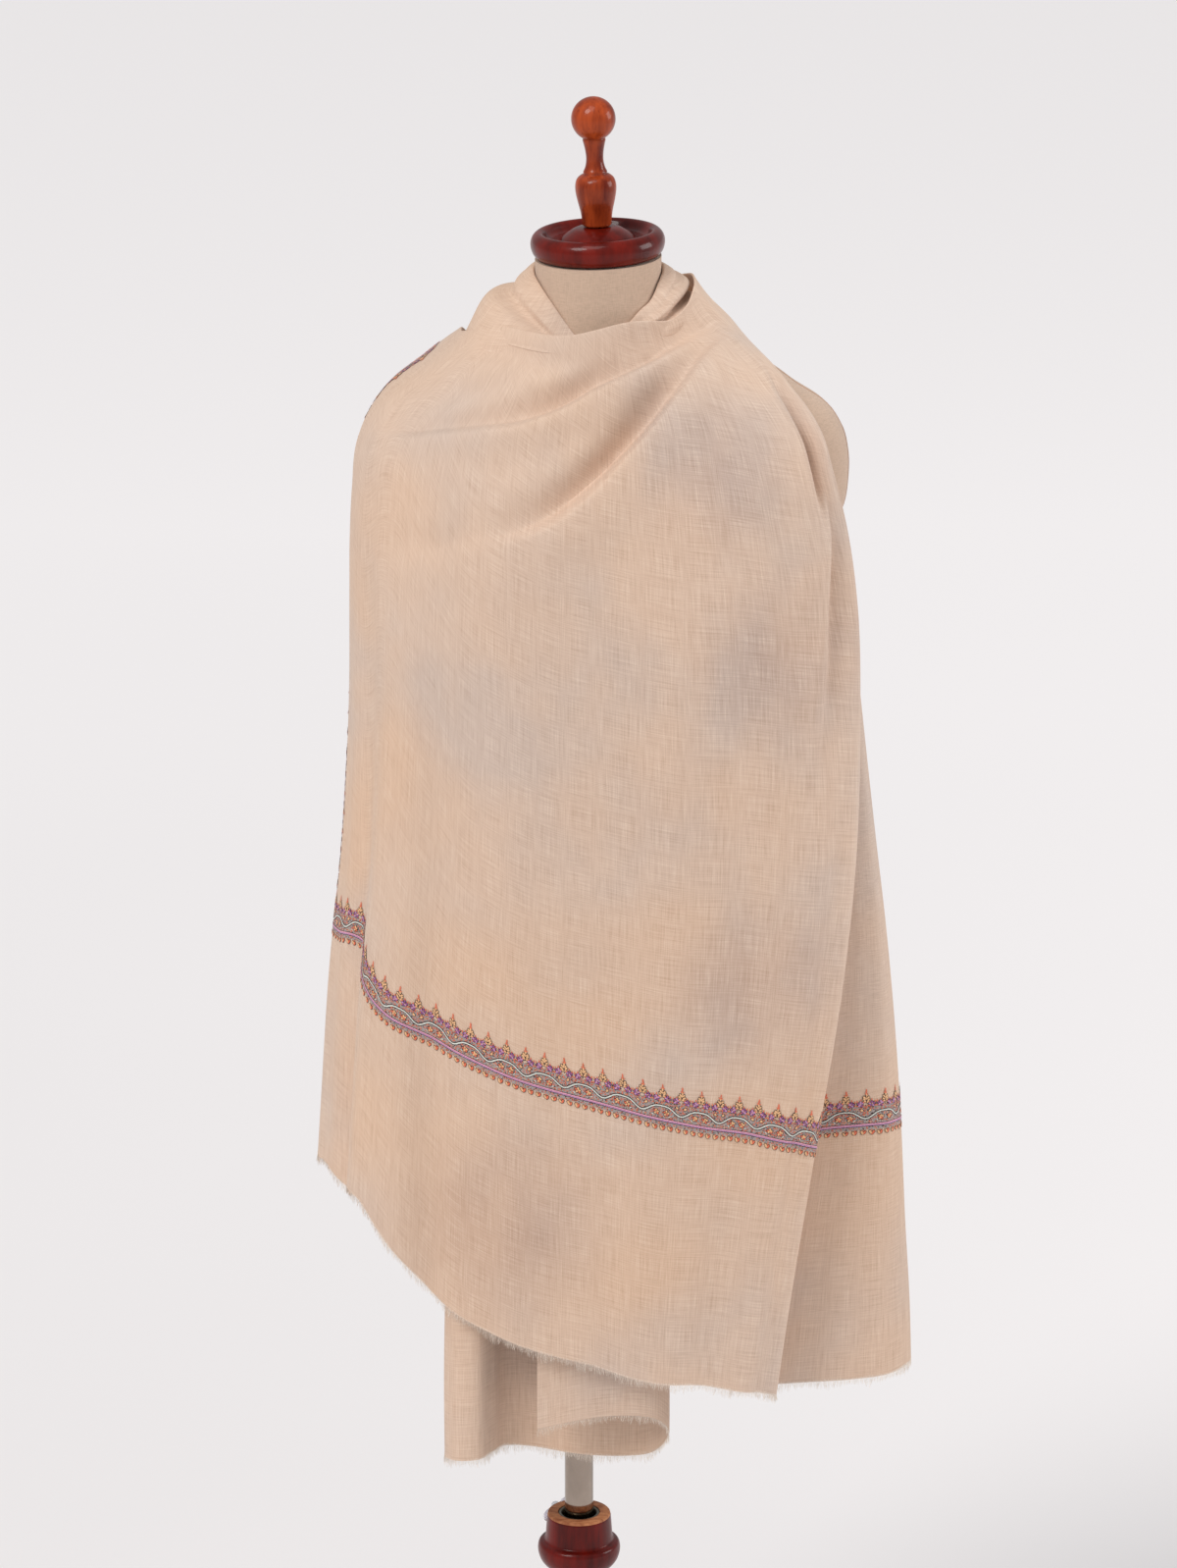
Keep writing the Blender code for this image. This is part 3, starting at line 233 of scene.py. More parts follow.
GUIDE_ROWS = table(
    GuideRow,
    (-180, 1.4880, 1.4540, 1.4030, 0.012, 1.230, 0.765),
    (-135, 1.4960, 1.4460, 1.3880, 0.012, 1.230, 0.757),
    (-90, 1.5035, 1.4360, 1.3710, 0.012, 1.230, 0.750),
    (-80, 1.5070, 1.4345, 1.3670, 0.012, 1.230, 0.752),
    (-68, 1.5120, 1.4330, 1.3620, 0.012, 1.230, 0.736),
    (-56, 1.5165, 1.4360, 1.3580, 0.012, 1.230, 0.752),
    (-50, 1.5180, 1.4390, 1.3570, 0.012, 1.230, 0.747),
    (-45, 1.5184, 1.4425, 1.3560, 0.012, 1.230, 0.726),
    (-40, 1.5180, 1.4455, 1.3560, 0.012, 1.230, 0.704),
    (-30, 1.5168, 1.4510, 1.3580, 0.012, 1.231, 0.660),
    (-20, 1.5160, 1.4570, 1.3640, 0.012, 1.233, 0.638),
    (-10, 1.5172, 1.4690, 1.3800, 0.012, 1.236, 0.622),
    (0, 1.5205, 1.4835, 1.4070, 0.011, 1.240, 0.612),
    (10, 1.5245, 1.4940, 1.4395, 0.010, 1.245, 0.602),
    (20, 1.5270, 1.5025, 1.4670, 0.009, 1.250, 0.594),
    (31, 1.5275, 1.5109, 1.4885, 0.008, 1.256, 0.590),
    (45, 1.5280, 1.5168, 1.5028, 0.006, 1.262, 0.582),
    (60, 1.5335, 1.5190, 1.5090, 0.005, 1.270, 0.576),
    (75, 1.5420, 1.5200, 1.5110, 0.005, 1.275, 0.570),
    (90, 1.5460, 1.5200, 1.5100, 0.005, 1.280, 0.564),
    (135, 1.5410, 1.5170, 1.5070, 0.006, 1.280, 0.560),
    (180, 1.5300, 1.5120, 1.5000, 0.006, 1.280, 0.560),
)

# A crease is a groove (or a ridge, with a minus) that runs along a guide line: drop is where it lies
# in steps below the line, below and above are its spreads on either side.


class CreaseRow(NamedTuple):
    """Depth of a crease on one turn."""

    turn: float
    depth: float


class Crease(NamedTuple):
    """A groove, or with a minus a ridge, along a guide line."""

    line: str
    drop: float
    below: float
    above: float
    rows: tuple


CREASES = (
    Crease("cowl", 0.0, 0.005, 0.021, table(CreaseRow,
        (-74, 0.0000), (-54, 0.0050), (-38, 0.0090), (-20, 0.0130), (-5, 0.0165), (10, 0.0165),
        (30, 0.0135), (50, 0.0095), (66, 0.0045), (80, 0.0000),
    )),
    Crease("cowl", 1.0, 0.028, 0.005, table(CreaseRow,
        (-74, 0.0000), (-54, -0.0020), (-38, -0.0035), (-20, -0.0055), (-5, -0.0070), (10, -0.0065),
        (30, -0.0050), (50, -0.0030), (66, -0.0010), (80, 0.0000),
    )),
    Crease("gather", 0.0, 0.005, 0.023, table(CreaseRow,
        (-24, 0.0000), (-14, 0.0070), (-5, 0.0130), (7, 0.0175), (17, 0.0170), (31, 0.0130), (50, 0.0085),
        (66, 0.0035), (80, 0.0000),
    )),
    Crease("gather", 1.0, 0.042, 0.005, table(CreaseRow,
        (-24, 0.0000), (-14, -0.0030), (-5, -0.0075), (7, -0.0110), (17, -0.0115), (31, -0.0100),
        (50, -0.0070), (66, -0.0030), (80, 0.0000),
    )),
    Crease("high", 1.4, 0.009, 0.009, table(CreaseRow,
        (-62, 0.000), (-46, 0.004), (-30, 0.005), (-12, 0.003), (4, 0.000),
    )),
)

# A fold is a groove that hangs: at each height, the turn where it lies and how far the cloth goes
# in (minus for a ridge); before and after are its spreads in degrees.


class FoldRow(NamedTuple):
    """Where a hanging fold lies at one height, and how deep."""

    z: float
    turn: float
    depth: float


class Fold(NamedTuple):
    """A groove that hangs, with its spreads in degrees."""

    before: float
    after: float
    rows: tuple


HANGING_FOLDS = (
    Fold(8.0, 9.0, table(FoldRow,  # trough behind the left corner
        (0.530, -68, 0.024), (0.700, -68, 0.024), (0.850, -67, 0.021), (1.000, -66, 0.016),
        (1.150, -64, 0.010), (1.300, -62, 0.004), (1.400, -60, 0.000),
    )),
    Fold(8.0, 14.0, table(FoldRow,  # the left corner itself
        (0.530, -52, -0.009), (0.800, -52, -0.008), (1.000, -51, -0.006), (1.200, -50, -0.003),
        (1.350, -49, 0.000),
    )),
    Fold(4.0, 12.0, table(FoldRow,  # outer fold of the right shoulder
        (1.080, 50, 0.000), (1.150, 55, 0.004), (1.220, 60, 0.010), (1.280, 65, 0.014), (1.320, 69, 0.013),
        (1.370, 76, 0.007), (1.420, 82, 0.000),
    )),
    Fold(5.0, 9.0, table(FoldRow,  # the pocket inside it
        (1.350, 66, 0.000), (1.380, 68, 0.007), (1.410, 70, 0.013), (1.435, 70, 0.012), (1.460, 71, 0.006),
        (1.480, 72, 0.000),
    )),
    Fold(20.0, 5.0, table(FoldRow,  # the edge in front of the pocket
        (1.370, 56, 0.000), (1.390, 57, -0.003), (1.420, 59, -0.005), (1.460, 60, -0.003),
        (1.490, 62, 0.000),
    )),
    Fold(12.0, 9.0, table(FoldRow,  # soft fall below the left breast
        (0.530, -26, 0.005), (0.800, -26, 0.005), (1.100, -28, 0.004), (1.350, -30, 0.000),
    )),
    Fold(9.0, 12.0, table(FoldRow,  # soft fall below the gather
        (0.530, 36, 0.006), (0.850, 38, 0.006), (1.100, 34, 0.004), (1.300, 30, 0.000),
    )),
)

# The strip beyond the panel's right fold: its outer reach and its free back edge.


class SideRow(NamedTuple):
    """One level of the side strip: its reach and its free back edge."""

    z: float
    reach_x: float
    reach_y: float
    back_x: float
    back_y: float


SIDE_ROWS = table(
    SideRow,
    (0.530, 0.2955, 0.025, 0.226, 0.102),
    (0.620, 0.2925, 0.024, 0.228, 0.100),
    (0.700, 0.2872, 0.022, 0.230, 0.098),
    (0.790, 0.2822, 0.020, 0.230, 0.094),
    (0.880, 0.2755, 0.018, 0.230, 0.088),
    (0.970, 0.2665, 0.014, 0.228, 0.080),
    (1.060, 0.2553, 0.010, 0.225, 0.070),
    (1.190, 0.2400, 0.000, 0.218, 0.045),
    (1.260, 0.2320, -0.015, 0.224, 0.010),
    (1.310, 0.2275, -0.034, 0.224, -0.024),
    (1.345, 0.2235, -0.050, 0.220, -0.045),
    (1.400, 0.2150, -0.064, 0.212, -0.060),
)
SIDE_LOW = (0.560, 0.558, 0.566)  # fray tips at the half-turn, the reach and the back edge

# The stretch round the neck: heading runs from the front (0) by +X (90) and the back (180).
# high and inner are the height and radius of its upper edge, low and outer of its foot; bulge is
# its roundness, and a crease parts its two rolls at a share of the way down.


class NeckRow(NamedTuple):
    """The neck stretch on one heading."""

    heading: float
    high: float
    inner: float
    low: float
    outer: float
    bulge: float
    crease_at: float
    crease: float


NECK_ROWS = table(
    NeckRow,
    (24, 1.5200, 0.0588, 1.5040, 0.0640, 0.001, 0.60, 0.000),
    (37, 1.5300, 0.0575, 1.5070, 0.0680, 0.003, 0.60, 0.002),
    (52, 1.5375, 0.0568, 1.5090, 0.0740, 0.006, 0.56, 0.005),
    (66, 1.5490, 0.0562, 1.5110, 0.0800, 0.008, 0.54, 0.009),
    (90, 1.5575, 0.0560, 1.5120, 0.0880, 0.010, 0.54, 0.012),
    (115, 1.5590, 0.0560, 1.5100, 0.0865, 0.010, 0.54, 0.010),
    (150, 1.5600, 0.0562, 1.5050, 0.0840, 0.011, 0.50, 0.006),
    (180, 1.5600, 0.0562, 1.4970, 0.0875, 0.013, 0.42, 0.007),
    (215, 1.5600, 0.0562, 1.4920, 0.0980, 0.011, 0.38, 0.007),
    (250, 1.5585, 0.0560, 1.4840, 0.1170, 0.012, 0.26, 0.010),
    (270, 1.5560, 0.0560, 1.4810, 0.1200, 0.012, 0.25, 0.012),
    (296, 1.5490, 0.0560, 1.4810, 0.1140, 0.010, 0.26, 0.012),
    (318, 1.5345, 0.0565, 1.4830, 0.0940, 0.006, 0.34, 0.007),
    (335, 1.5185, 0.0590, 1.4850, 0.0850, 0.002, 0.40, 0.000),
    (345, 1.5090, 0.0640, 1.4870, 0.0800, 0.001, 0.40, 0.000),
)

# The other end, which hangs under the panel: its section at the hem, and how each level scales it.


class UnderPoint(NamedTuple):
    """One point of the hanging end's section at its hem."""

    x: float
    y: float
    low: float


UNDER_PLAN = table(
    UnderPoint,
    (-0.092, -0.046, 0.514),
    (-0.110, -0.058, 0.512),
    (-0.117, -0.078, 0.508),
    (-0.106, -0.098, 0.511),
    (-0.086, -0.100, 0.513),
    (-0.074, -0.082, 0.513),
    (-0.064, -0.062, 0.510),
    (-0.040, -0.055, 0.506),
    (0.000, -0.058, 0.500),
    (0.040, -0.062, 0.500),
    (0.066, -0.070, 0.508),
    (0.078, -0.086, 0.533),
    (0.064, -0.102, 0.553),
    (0.030, -0.106, 0.557),
    (-0.004, -0.106, 0.552),
    (-0.036, -0.102, 0.5426),
)
UNDER_MIDDLE = (-0.0195, -0.078)
# follow is how strongly a level bends back from the middle with the panel over it.


class UnderRow(NamedTuple):
    """How one level of the hanging end is placed and scaled."""

    z: float
    middle_x: float
    middle_y: float
    wide: float
    deep: float
    follow: float


UNDER_ROWS = table(
    UnderRow,
    (0.500, -0.0195, -0.078, 1.00, 1.00, 0.0),
    (0.600, -0.0195, -0.079, 1.00, 1.00, 0.0),
    (0.700, -0.0200, -0.083, 0.97, 0.85, 0.2),
    (0.780, -0.0220, -0.096, 0.92, 0.50, 0.5),
    (0.850, -0.0240, -0.1140, 0.88, 0.16, 0.9),
    (0.950, -0.0260, -0.1160, 0.82, 0.12, 0.9),
    (1.050, -0.0300, -0.1160, 0.76, 0.12, 1.2),
    (1.190, -0.0340, -0.1230, 0.66, 0.12, 1.3),
    (1.280, -0.0370, -0.1280, 0.60, 0.10, 1.3),
    (1.370, -0.0420, -0.1111, 0.52, 0.08, 1.3),
    (1.440, -0.0480, -0.0896, 0.46, 0.08, 1.3),
    (1.470, -0.0500, -0.0810, 0.44, 0.08, 1.3),
)
UNDER_TOP = 1.460

# Turned profiles: radius and height, from the axis at the foot round to the axis at the top.
CAP_PROFILE = (
    (0.0, 0.0), (0.0500, 0.0), (0.0545, 0.0040), (0.0567, 0.0115), (0.0555, 0.0175), (0.0522, 0.0214),
    (0.0483, 0.0228), (0.0452, 0.0210), (0.0430, 0.0165), (0.0390, 0.0145), (0.0320, 0.0145),
    (0.0300, 0.0175), (0.0250, 0.0210), (0.0170, FINIAL_RISE), (0.0, FINIAL_RISE),
)
FINIAL_STEM = (
    (0.0, 0.0), (0.0120, 0.0), (0.0122, 0.0045), (0.0134, 0.0130), (0.0157, 0.0220), (0.0172, 0.0300),
    (0.0173, 0.0355), (0.0158, 0.0408), (0.0120, 0.0438), (0.0098, 0.0446), (0.0102, 0.0464),
    (0.0084, 0.0495), (0.0073, 0.0545), (0.0071, 0.0590), (0.0078, 0.0650), (0.0090, 0.0705),
    (0.0097, 0.0728), (0.0094, 0.0748),
)
BALL_RADIUS = 0.01855
BALL_HEIGHT = 0.0908
COLUMN_OUTSIDE = (
    (0.0500, BASE_HEIGHT + SEAM), (0.0540, 0.0345), (0.0540, 0.0400), (0.0460, 0.0480), (0.0330, 0.0600),
    (0.0255, 0.0850), (0.0235, 0.1300), (0.0250, 0.2000), (0.0288, 0.2750), (0.0296, 0.3200),
    (0.0262, 0.3580), (0.0245, 0.3680), (0.0270, 0.3780), (0.0305, 0.3815), (0.0345, 0.3865),
    (0.0366, 0.3935), (0.0366, 0.3990), (0.0350, 0.4030), (0.0312, 0.4040), (0.0298, 0.4055),
    (0.0292, 0.4150), (0.0283, 0.4270), (0.0276, COLUMN_TOP),
)
BASE_PROFILE = (
    (0.0, 0.0), (0.1600, 0.0), (BASE_RADIUS, 0.0040), (BASE_RADIUS, 0.0120), (0.1600, 0.0175),
    (0.1500, 0.0190), (0.1440, 0.0225), (0.1000, 0.0275), (0.0600, BASE_HEIGHT), (0.0, BASE_HEIGHT),
)


Array = np.ndarray


# ---- tables read as smooth curves
def column(rows: Sequence[NamedTuple], name: str) -> Array:
    """One column of a table as an array."""
    return np.array([getattr(row, name) for row in rows], dtype=float)


def smooth(knots: Array, values: Array, at: Array) -> Array:
    """Cubic through the knots, with slopes from the neighbours; flat beyond both ends.

    Args:
        knots: Increasing places of the values.
        values: One value for each knot.
        at: Places to read.

    Returns:
        Hermite blend h00 v0 + h10 w m0 + h01 v1 + h11 w m1 between the two nearest knots.
    """
    slopes = np.gradient(values, knots)
    at = np.clip(at, knots[0], knots[-1])
    left = np.clip(np.searchsorted(knots, at, side="right") - 1, 0, len(knots) - 2)
    span = knots[left + 1] - knots[left]
    t = (at - knots[left]) / span
    start = (1 + 2 * t) * (1 - t) ** 2 * values[left] + t * (1 - t) ** 2 * span * slopes[left]
    end = t**2 * (3 - 2 * t) * values[left + 1] + t**2 * (t - 1) * span * slopes[left + 1]
    return start + end


def read(rows: Sequence[NamedTuple], key: str, name: str, at: Array) -> Array:
    """The named column of a table, read at places on its key column."""
    return smooth(column(rows, key), column(rows, name), at)


def bell(distance: Array, before: float, after: float) -> Array:
    """A bell of height 1 at distance 0, exp(-(d / spread)^2), with a spread on each side."""
    return np.exp(-((distance / np.where(distance < 0.0, before, after)) ** 2))


def spaced(stops: Sequence[float], counts: Sequence[int]) -> Array:
    """Stations that divide each stretch between stops into equal steps."""
    parts = [np.linspace(a, b, n, endpoint=False) for a, b, n in zip(stops, stops[1:], counts)]
    return np.append(np.concatenate(parts), stops[-1])


def unit(vectors: Array) -> Array:
    """Vectors scaled to length 1 along the last axis."""
    return vectors / np.maximum(np.linalg.norm(vectors, axis=-1, keepdims=True), 1e-12)


def outward(points: Array) -> Array:
    """Unit normals of a grid whose rows run down and whose columns run to the viewer's right."""
    return unit(np.cross(np.gradient(points, axis=0), np.gradient(points, axis=1)))


def run_length(points: Array, axis: int) -> Array:
    """Length along a grid from its first line to each point: the running sum of the steps.

    Args:
        points: grid of points, rows by columns
        axis: the grid's axis to run along

    Returns:
        Lengths, in the grid's own shape.
    """
    steps = np.linalg.norm(np.diff(points, axis=axis), axis=-1)
    start = np.zeros_like(np.take(steps, [0], axis=axis))
    return np.cumsum(np.concatenate((start, steps), axis=axis), axis=axis)


def rounded(profile: Sequence[tuple], passes: int = 3) -> Array:
    """A profile with its corners cut: each pass puts points at 1/4 and 3/4 of every stretch.

    Args:
        profile: radius and height of each corner
        passes: how often the corners are cut

    Returns:
        The smoother profile.
    """
    line = np.array(profile, dtype=float)
    for _ in range(passes):
        near = 0.75 * line[:-1] + 0.25 * line[1:]
        far = 0.25 * line[:-1] + 0.75 * line[1:]
        inside = np.stack((near, far), axis=1).reshape(-1, line.shape[1])
        line = np.concatenate((line[:1], inside, line[-1:]))
    return line


# ---- meshes
def grid_faces(rows: int, columns: int, wrap: bool = False) -> Array:
    """Quads of a grid of points, outwards where rows run down and columns to the right.

    Args:
        rows: Number of rows of points.
        columns: Number of points in a row.
        wrap: Whether the last column joins the first.

    Returns:
        Corner numbers, four to a face.
    """
    r, c = np.meshgrid(np.arange(rows - 1), np.arange(columns - (not wrap)), indexing="ij")
    here = r * columns + c
    right = r * columns + (c + 1) % columns
    return np.stack((here, here + columns, right + columns, right), axis=-1).reshape(-1, 4)


def weld(mesh: bpy.types.Mesh) -> None:
    """Join the points of each closed pole and drop the faces that this flattens.

    Args:
        mesh: the mesh to mend
    """
    shape = bmesh.new()
    shape.from_mesh(mesh)
    bmesh.ops.remove_doubles(shape, verts=shape.verts, dist=MERGE)
    shape.to_mesh(mesh)
    shape.free()
    mesh.validate()


class Gather:
    """Collects the surfaces of one piece and builds it as a single mesh object.

    Attributes:
        name: Name of the piece.
        materials: Its material slots.
    """

    def __init__(self, name: str, materials: Sequence[Material]) -> None:
        """Start an empty piece.

        Args:
            name: the piece's name
            materials: the piece's materials, one for each slot
        """
        self.name = name
        self.materials = list(materials)
        self.points: list[Array] = []
        self.maps: list[Array] = []
        self.faces: list[Array] = []
        self.slots: list[Array] = []
        self.count = 0

    def add(self, points: Array, faces: Array, slot: int = 0, uv: Optional[Array] = None) -> None:
        """Add a surface.

        Args:
            points: Its points, in any shape that ends in 3.
            faces: Corner numbers of its faces, all of one size.
            slot: Material slot of all its faces.
            uv: A map value for each point, in metres along the weft and the warp.
        """
        flat = points.reshape(-1, 3)
        self.points.append(flat)
        self.maps.append(np.zeros((len(flat), 2)) if uv is None else uv.reshape(-1, 2))
        self.faces.append(faces + self.count)
        self.slots.append(np.full(len(faces), slot))
        self.count += len(flat)

    def shell(self, outer: Array, uv: Array, thickness: float = CLOTH, slot: int = 0) -> None:
        """Add a closed sheet: the grid, a copy of it set in by the thickness, and a rim between.

        Args:
            outer: grid of outer points
            uv: the cloth's map, in metres
            thickness: how thick the cloth is
            slot: which material the faces take
        """
        rows, columns = outer.shape[:2]
        inner = outer - outward(outer) * thickness
        faces = grid_faces(rows, columns)
        half = rows * columns
        index = np.arange(half).reshape(rows, columns)
        rim = np.concatenate((index[0, ::-1], index[1:, 0], index[-1, 1:], index[-2:0:-1, -1]))
        after = np.roll(rim, -1)
        side = np.stack((after, rim, rim + half, after + half), axis=1)
        points = np.concatenate((outer.reshape(-1, 3), inner.reshape(-1, 3)))
        both = np.concatenate((faces, faces[:, ::-1] + half, side))
        self.add(points, both, slot, np.tile(uv.reshape(-1, 2), (2, 1)))

    def lathe(self, profile: Array, segments: int, place: Callable[[Array], Array], slot: int = 0) -> None:
        """Add a turned solid: a profile of radius and height, up or down, spun about its axis.

        Args:
            profile: Radius and height of each ring, from the foot round to the top.
            segments: Number of columns.
            place: Moves local points to where the piece stands.
            slot: Material slot.
        """
        turn = np.linspace(0.0, 2 * math.pi, segments, endpoint=False)
        radius = np.maximum(profile[:, :1], 1e-6)
        height = np.repeat(profile[:, 1:2], segments, axis=1)
        points = np.stack((radius * np.cos(turn), radius * np.sin(turn), height), axis=2)
        faces = grid_faces(len(profile), segments, wrap=True)[:, ::-1]
        self.add(place(points), faces, slot)

    def tube(self, path: Array, radii: Array, sides: int, slot: int = 0) -> None:
        """Add tubes: rings carried along each path, closed by their narrow ends.

        Args:
            path: Points of shape (tubes, stations, 3).
            radii: Radius of each station, of shape (tubes, stations).
            sides: Number of sides of a ring.
            slot: Material slot.
        """
        tubes, stations = path.shape[:2]
        along = unit(np.gradient(path, axis=1))
        helper = np.where(np.abs(along[..., 2:]) > 0.9, (0.0, 1.0, 0.0), (0.0, 0.0, 1.0))
        side = unit(np.cross(along, helper))
        other = np.cross(along, side)
        turn = np.linspace(0.0, 2 * math.pi, sides, endpoint=False)[:, None]
        ring = side[:, :, None] * np.cos(turn) + other[:, :, None] * np.sin(turn)
        points = path[:, :, None] + ring * radii[:, :, None, None]
        one = grid_faces(stations, sides, wrap=True)[:, ::-1]
        caps = np.stack((np.arange(sides)[::-1], np.arange(sides) + (stations - 1) * sides))
        base = (np.arange(tubes) * stations * sides)[:, None, None]
        start = self.count
        self.add(points, (one + base).reshape(-1, 4), slot)
        self.faces.append((caps + base).reshape(-1, sides) + start)
        self.slots.append(np.full(2 * tubes, slot))

    def build(self, body: str, finish: str, replaced: Sequence[str] = ()) -> bpy.types.Object:
        """Make the object, give it to its body and hide the parts that it stands for.

        Args:
            body: Body that it rides on.
            finish: Not used.
            replaced: Nodes of the part that it stands for.

        Returns:
            The new object.
        """
        mesh = bpy.data.meshes.new(self.name)
        faces = [face for block in self.faces for face in block.tolist()]
        mesh.from_pydata(np.concatenate(self.points).tolist(), [], faces)
        corners = np.zeros(len(mesh.loops), dtype=np.int32)
        mesh.loops.foreach_get("vertex_index", corners)
        layer = mesh.uv_layers.new(name="weave")
        layer.uv.foreach_set("vector", np.concatenate(self.maps)[corners].astype(np.float32).ravel())
        mesh.polygons.foreach_set("material_index", np.concatenate(self.slots).astype(np.int32))
        for material in self.materials:
            mesh.materials.append(material)
        weld(mesh)
        mesh.shade_smooth()
        mesh.set_sharp_from_angle(angle=math.radians(50.0))
        piece = bpy.data.objects.new(self.name, mesh)
        bpy.context.scene.collection.objects.link(piece)
        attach(piece, body)
        if replaced:
            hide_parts(*replaced)
        LOG.info("%s: %d faces on body %s", self.name, len(mesh.polygons), body)
        return piece


# ---- finishes
class Recipe:
    """A material under construction around one Principled shader."""

    def __init__(self, name: str) -> None:
        """Start a material with nothing but its shader and output.

        Args:
            name: the material's name
        """
        self.material = bpy.data.materials.new(name)
        self.material.use_nodes = True
        self.tree = self.material.node_tree
        self.shader = self.tree.nodes["Principled BSDF"]

    def add(self, kind: str, inputs: Optional[dict] = None, **settings) -> bpy.types.Node:
        """Add a node.

        Args:
            kind: Its type, without the ShaderNode prefix.
            inputs: Values or other nodes' sockets for its inputs, by name or number.
            **settings: Its own properties.

        Returns:
            The node.
        """
        node = self.tree.nodes.new("ShaderNode" + kind)
        for key, value in settings.items():
            setattr(node, key, value)
        self.feed(node, inputs or {})
        return node

    def feed(self, node: bpy.types.Node, inputs: dict) -> None:
        """Set or link inputs of a node."""
        for key, value in inputs.items():
            if isinstance(value, Socket):
                self.tree.links.new(value, node.inputs[key])
            else:
                node.inputs[key].default_value = value

    def finish(self, inputs: dict) -> None:
        """Set or link inputs of the shader."""
        self.feed(self.shader, inputs)

    def coordinates(self, scale: tuple, source: str = "Object", angle: float = 0.0) -> Socket:
        """Object or UV coordinates, stretched by a factor on each axis.

        Args:
            scale: factor on each axis
            source: Object or UV
            angle: turn about Z, in radians

        Returns:
            The stretched coordinates.
        """
        place = self.add("TexCoord").outputs[source]
        settings = {"Vector": place, "Scale": scale, "Rotation": (0.0, 0.0, angle)}
        return self.add("Mapping", settings).outputs["Vector"]

    def noise(
        self, place: Socket, detail: float = 2.0, roughness: float = 0.5
    ) -> Socket:
        """Noise of one cell for each unit of its coordinates."""
        settings = {"Vector": place, "Scale": 1.0, "Detail": detail, "Roughness": roughness}
        return self.add("TexNoise", settings).outputs["Fac"]

    def ramp(
        self, value: Socket, low: float, high: float, start: float = 0.0, end: float = 1.0
    ) -> Socket:
        """A value carried from low..high to start..end, held beyond both."""
        settings = {0: value, 1: low, 2: high, 3: start, 4: end}
        return self.add("MapRange", settings).outputs[0]

    def mix(self, share: Feed, first: Feed, second: Feed, blend: str = "MIX") -> Socket:
        """Two colours blended by a share."""
        settings = {0: share, 6: first, 7: second}
        return self.add("Mix", settings, data_type="RGBA", blend_type=blend).outputs[2]

    def maths(self, operation: str, first: Feed, second: Feed = 0.0) -> Socket:
        """One arithmetic step."""
        return self.add("Math", {0: first, 1: second}, operation=operation).outputs[0]

    def relief(self, height: Socket, distance: float, strength: float = 1.0) -> None:
        """Bump from a height of 0 to 1, standing a distance proud."""
        bump = self.add("Bump", {"Height": height, "Distance": distance, "Strength": strength})
        self.feed(self.shader, {"Normal": bump.outputs["Normal"]})


def darker(colour: tuple, share: float) -> tuple:
    """A colour with each channel brought down to a share."""
    return tuple(channel * share for channel in colour[:3]) + (1.0,)


def shade(red: float, green: float, blue: float) -> tuple:
    """A screen colour of 0 to 255 as the linear colour of a shader.

    Args:
        red, green, blue: 0 to 255

    Returns:
        Red, green, blue and 1.
    """
    values = [channel / 255.0 for channel in (red, green, blue)]
    linear = [v / 12.92 if v <= 0.04045 else ((v + 0.055) / 1.055) ** 2.4 for v in values]
    return (*linear, 1.0)


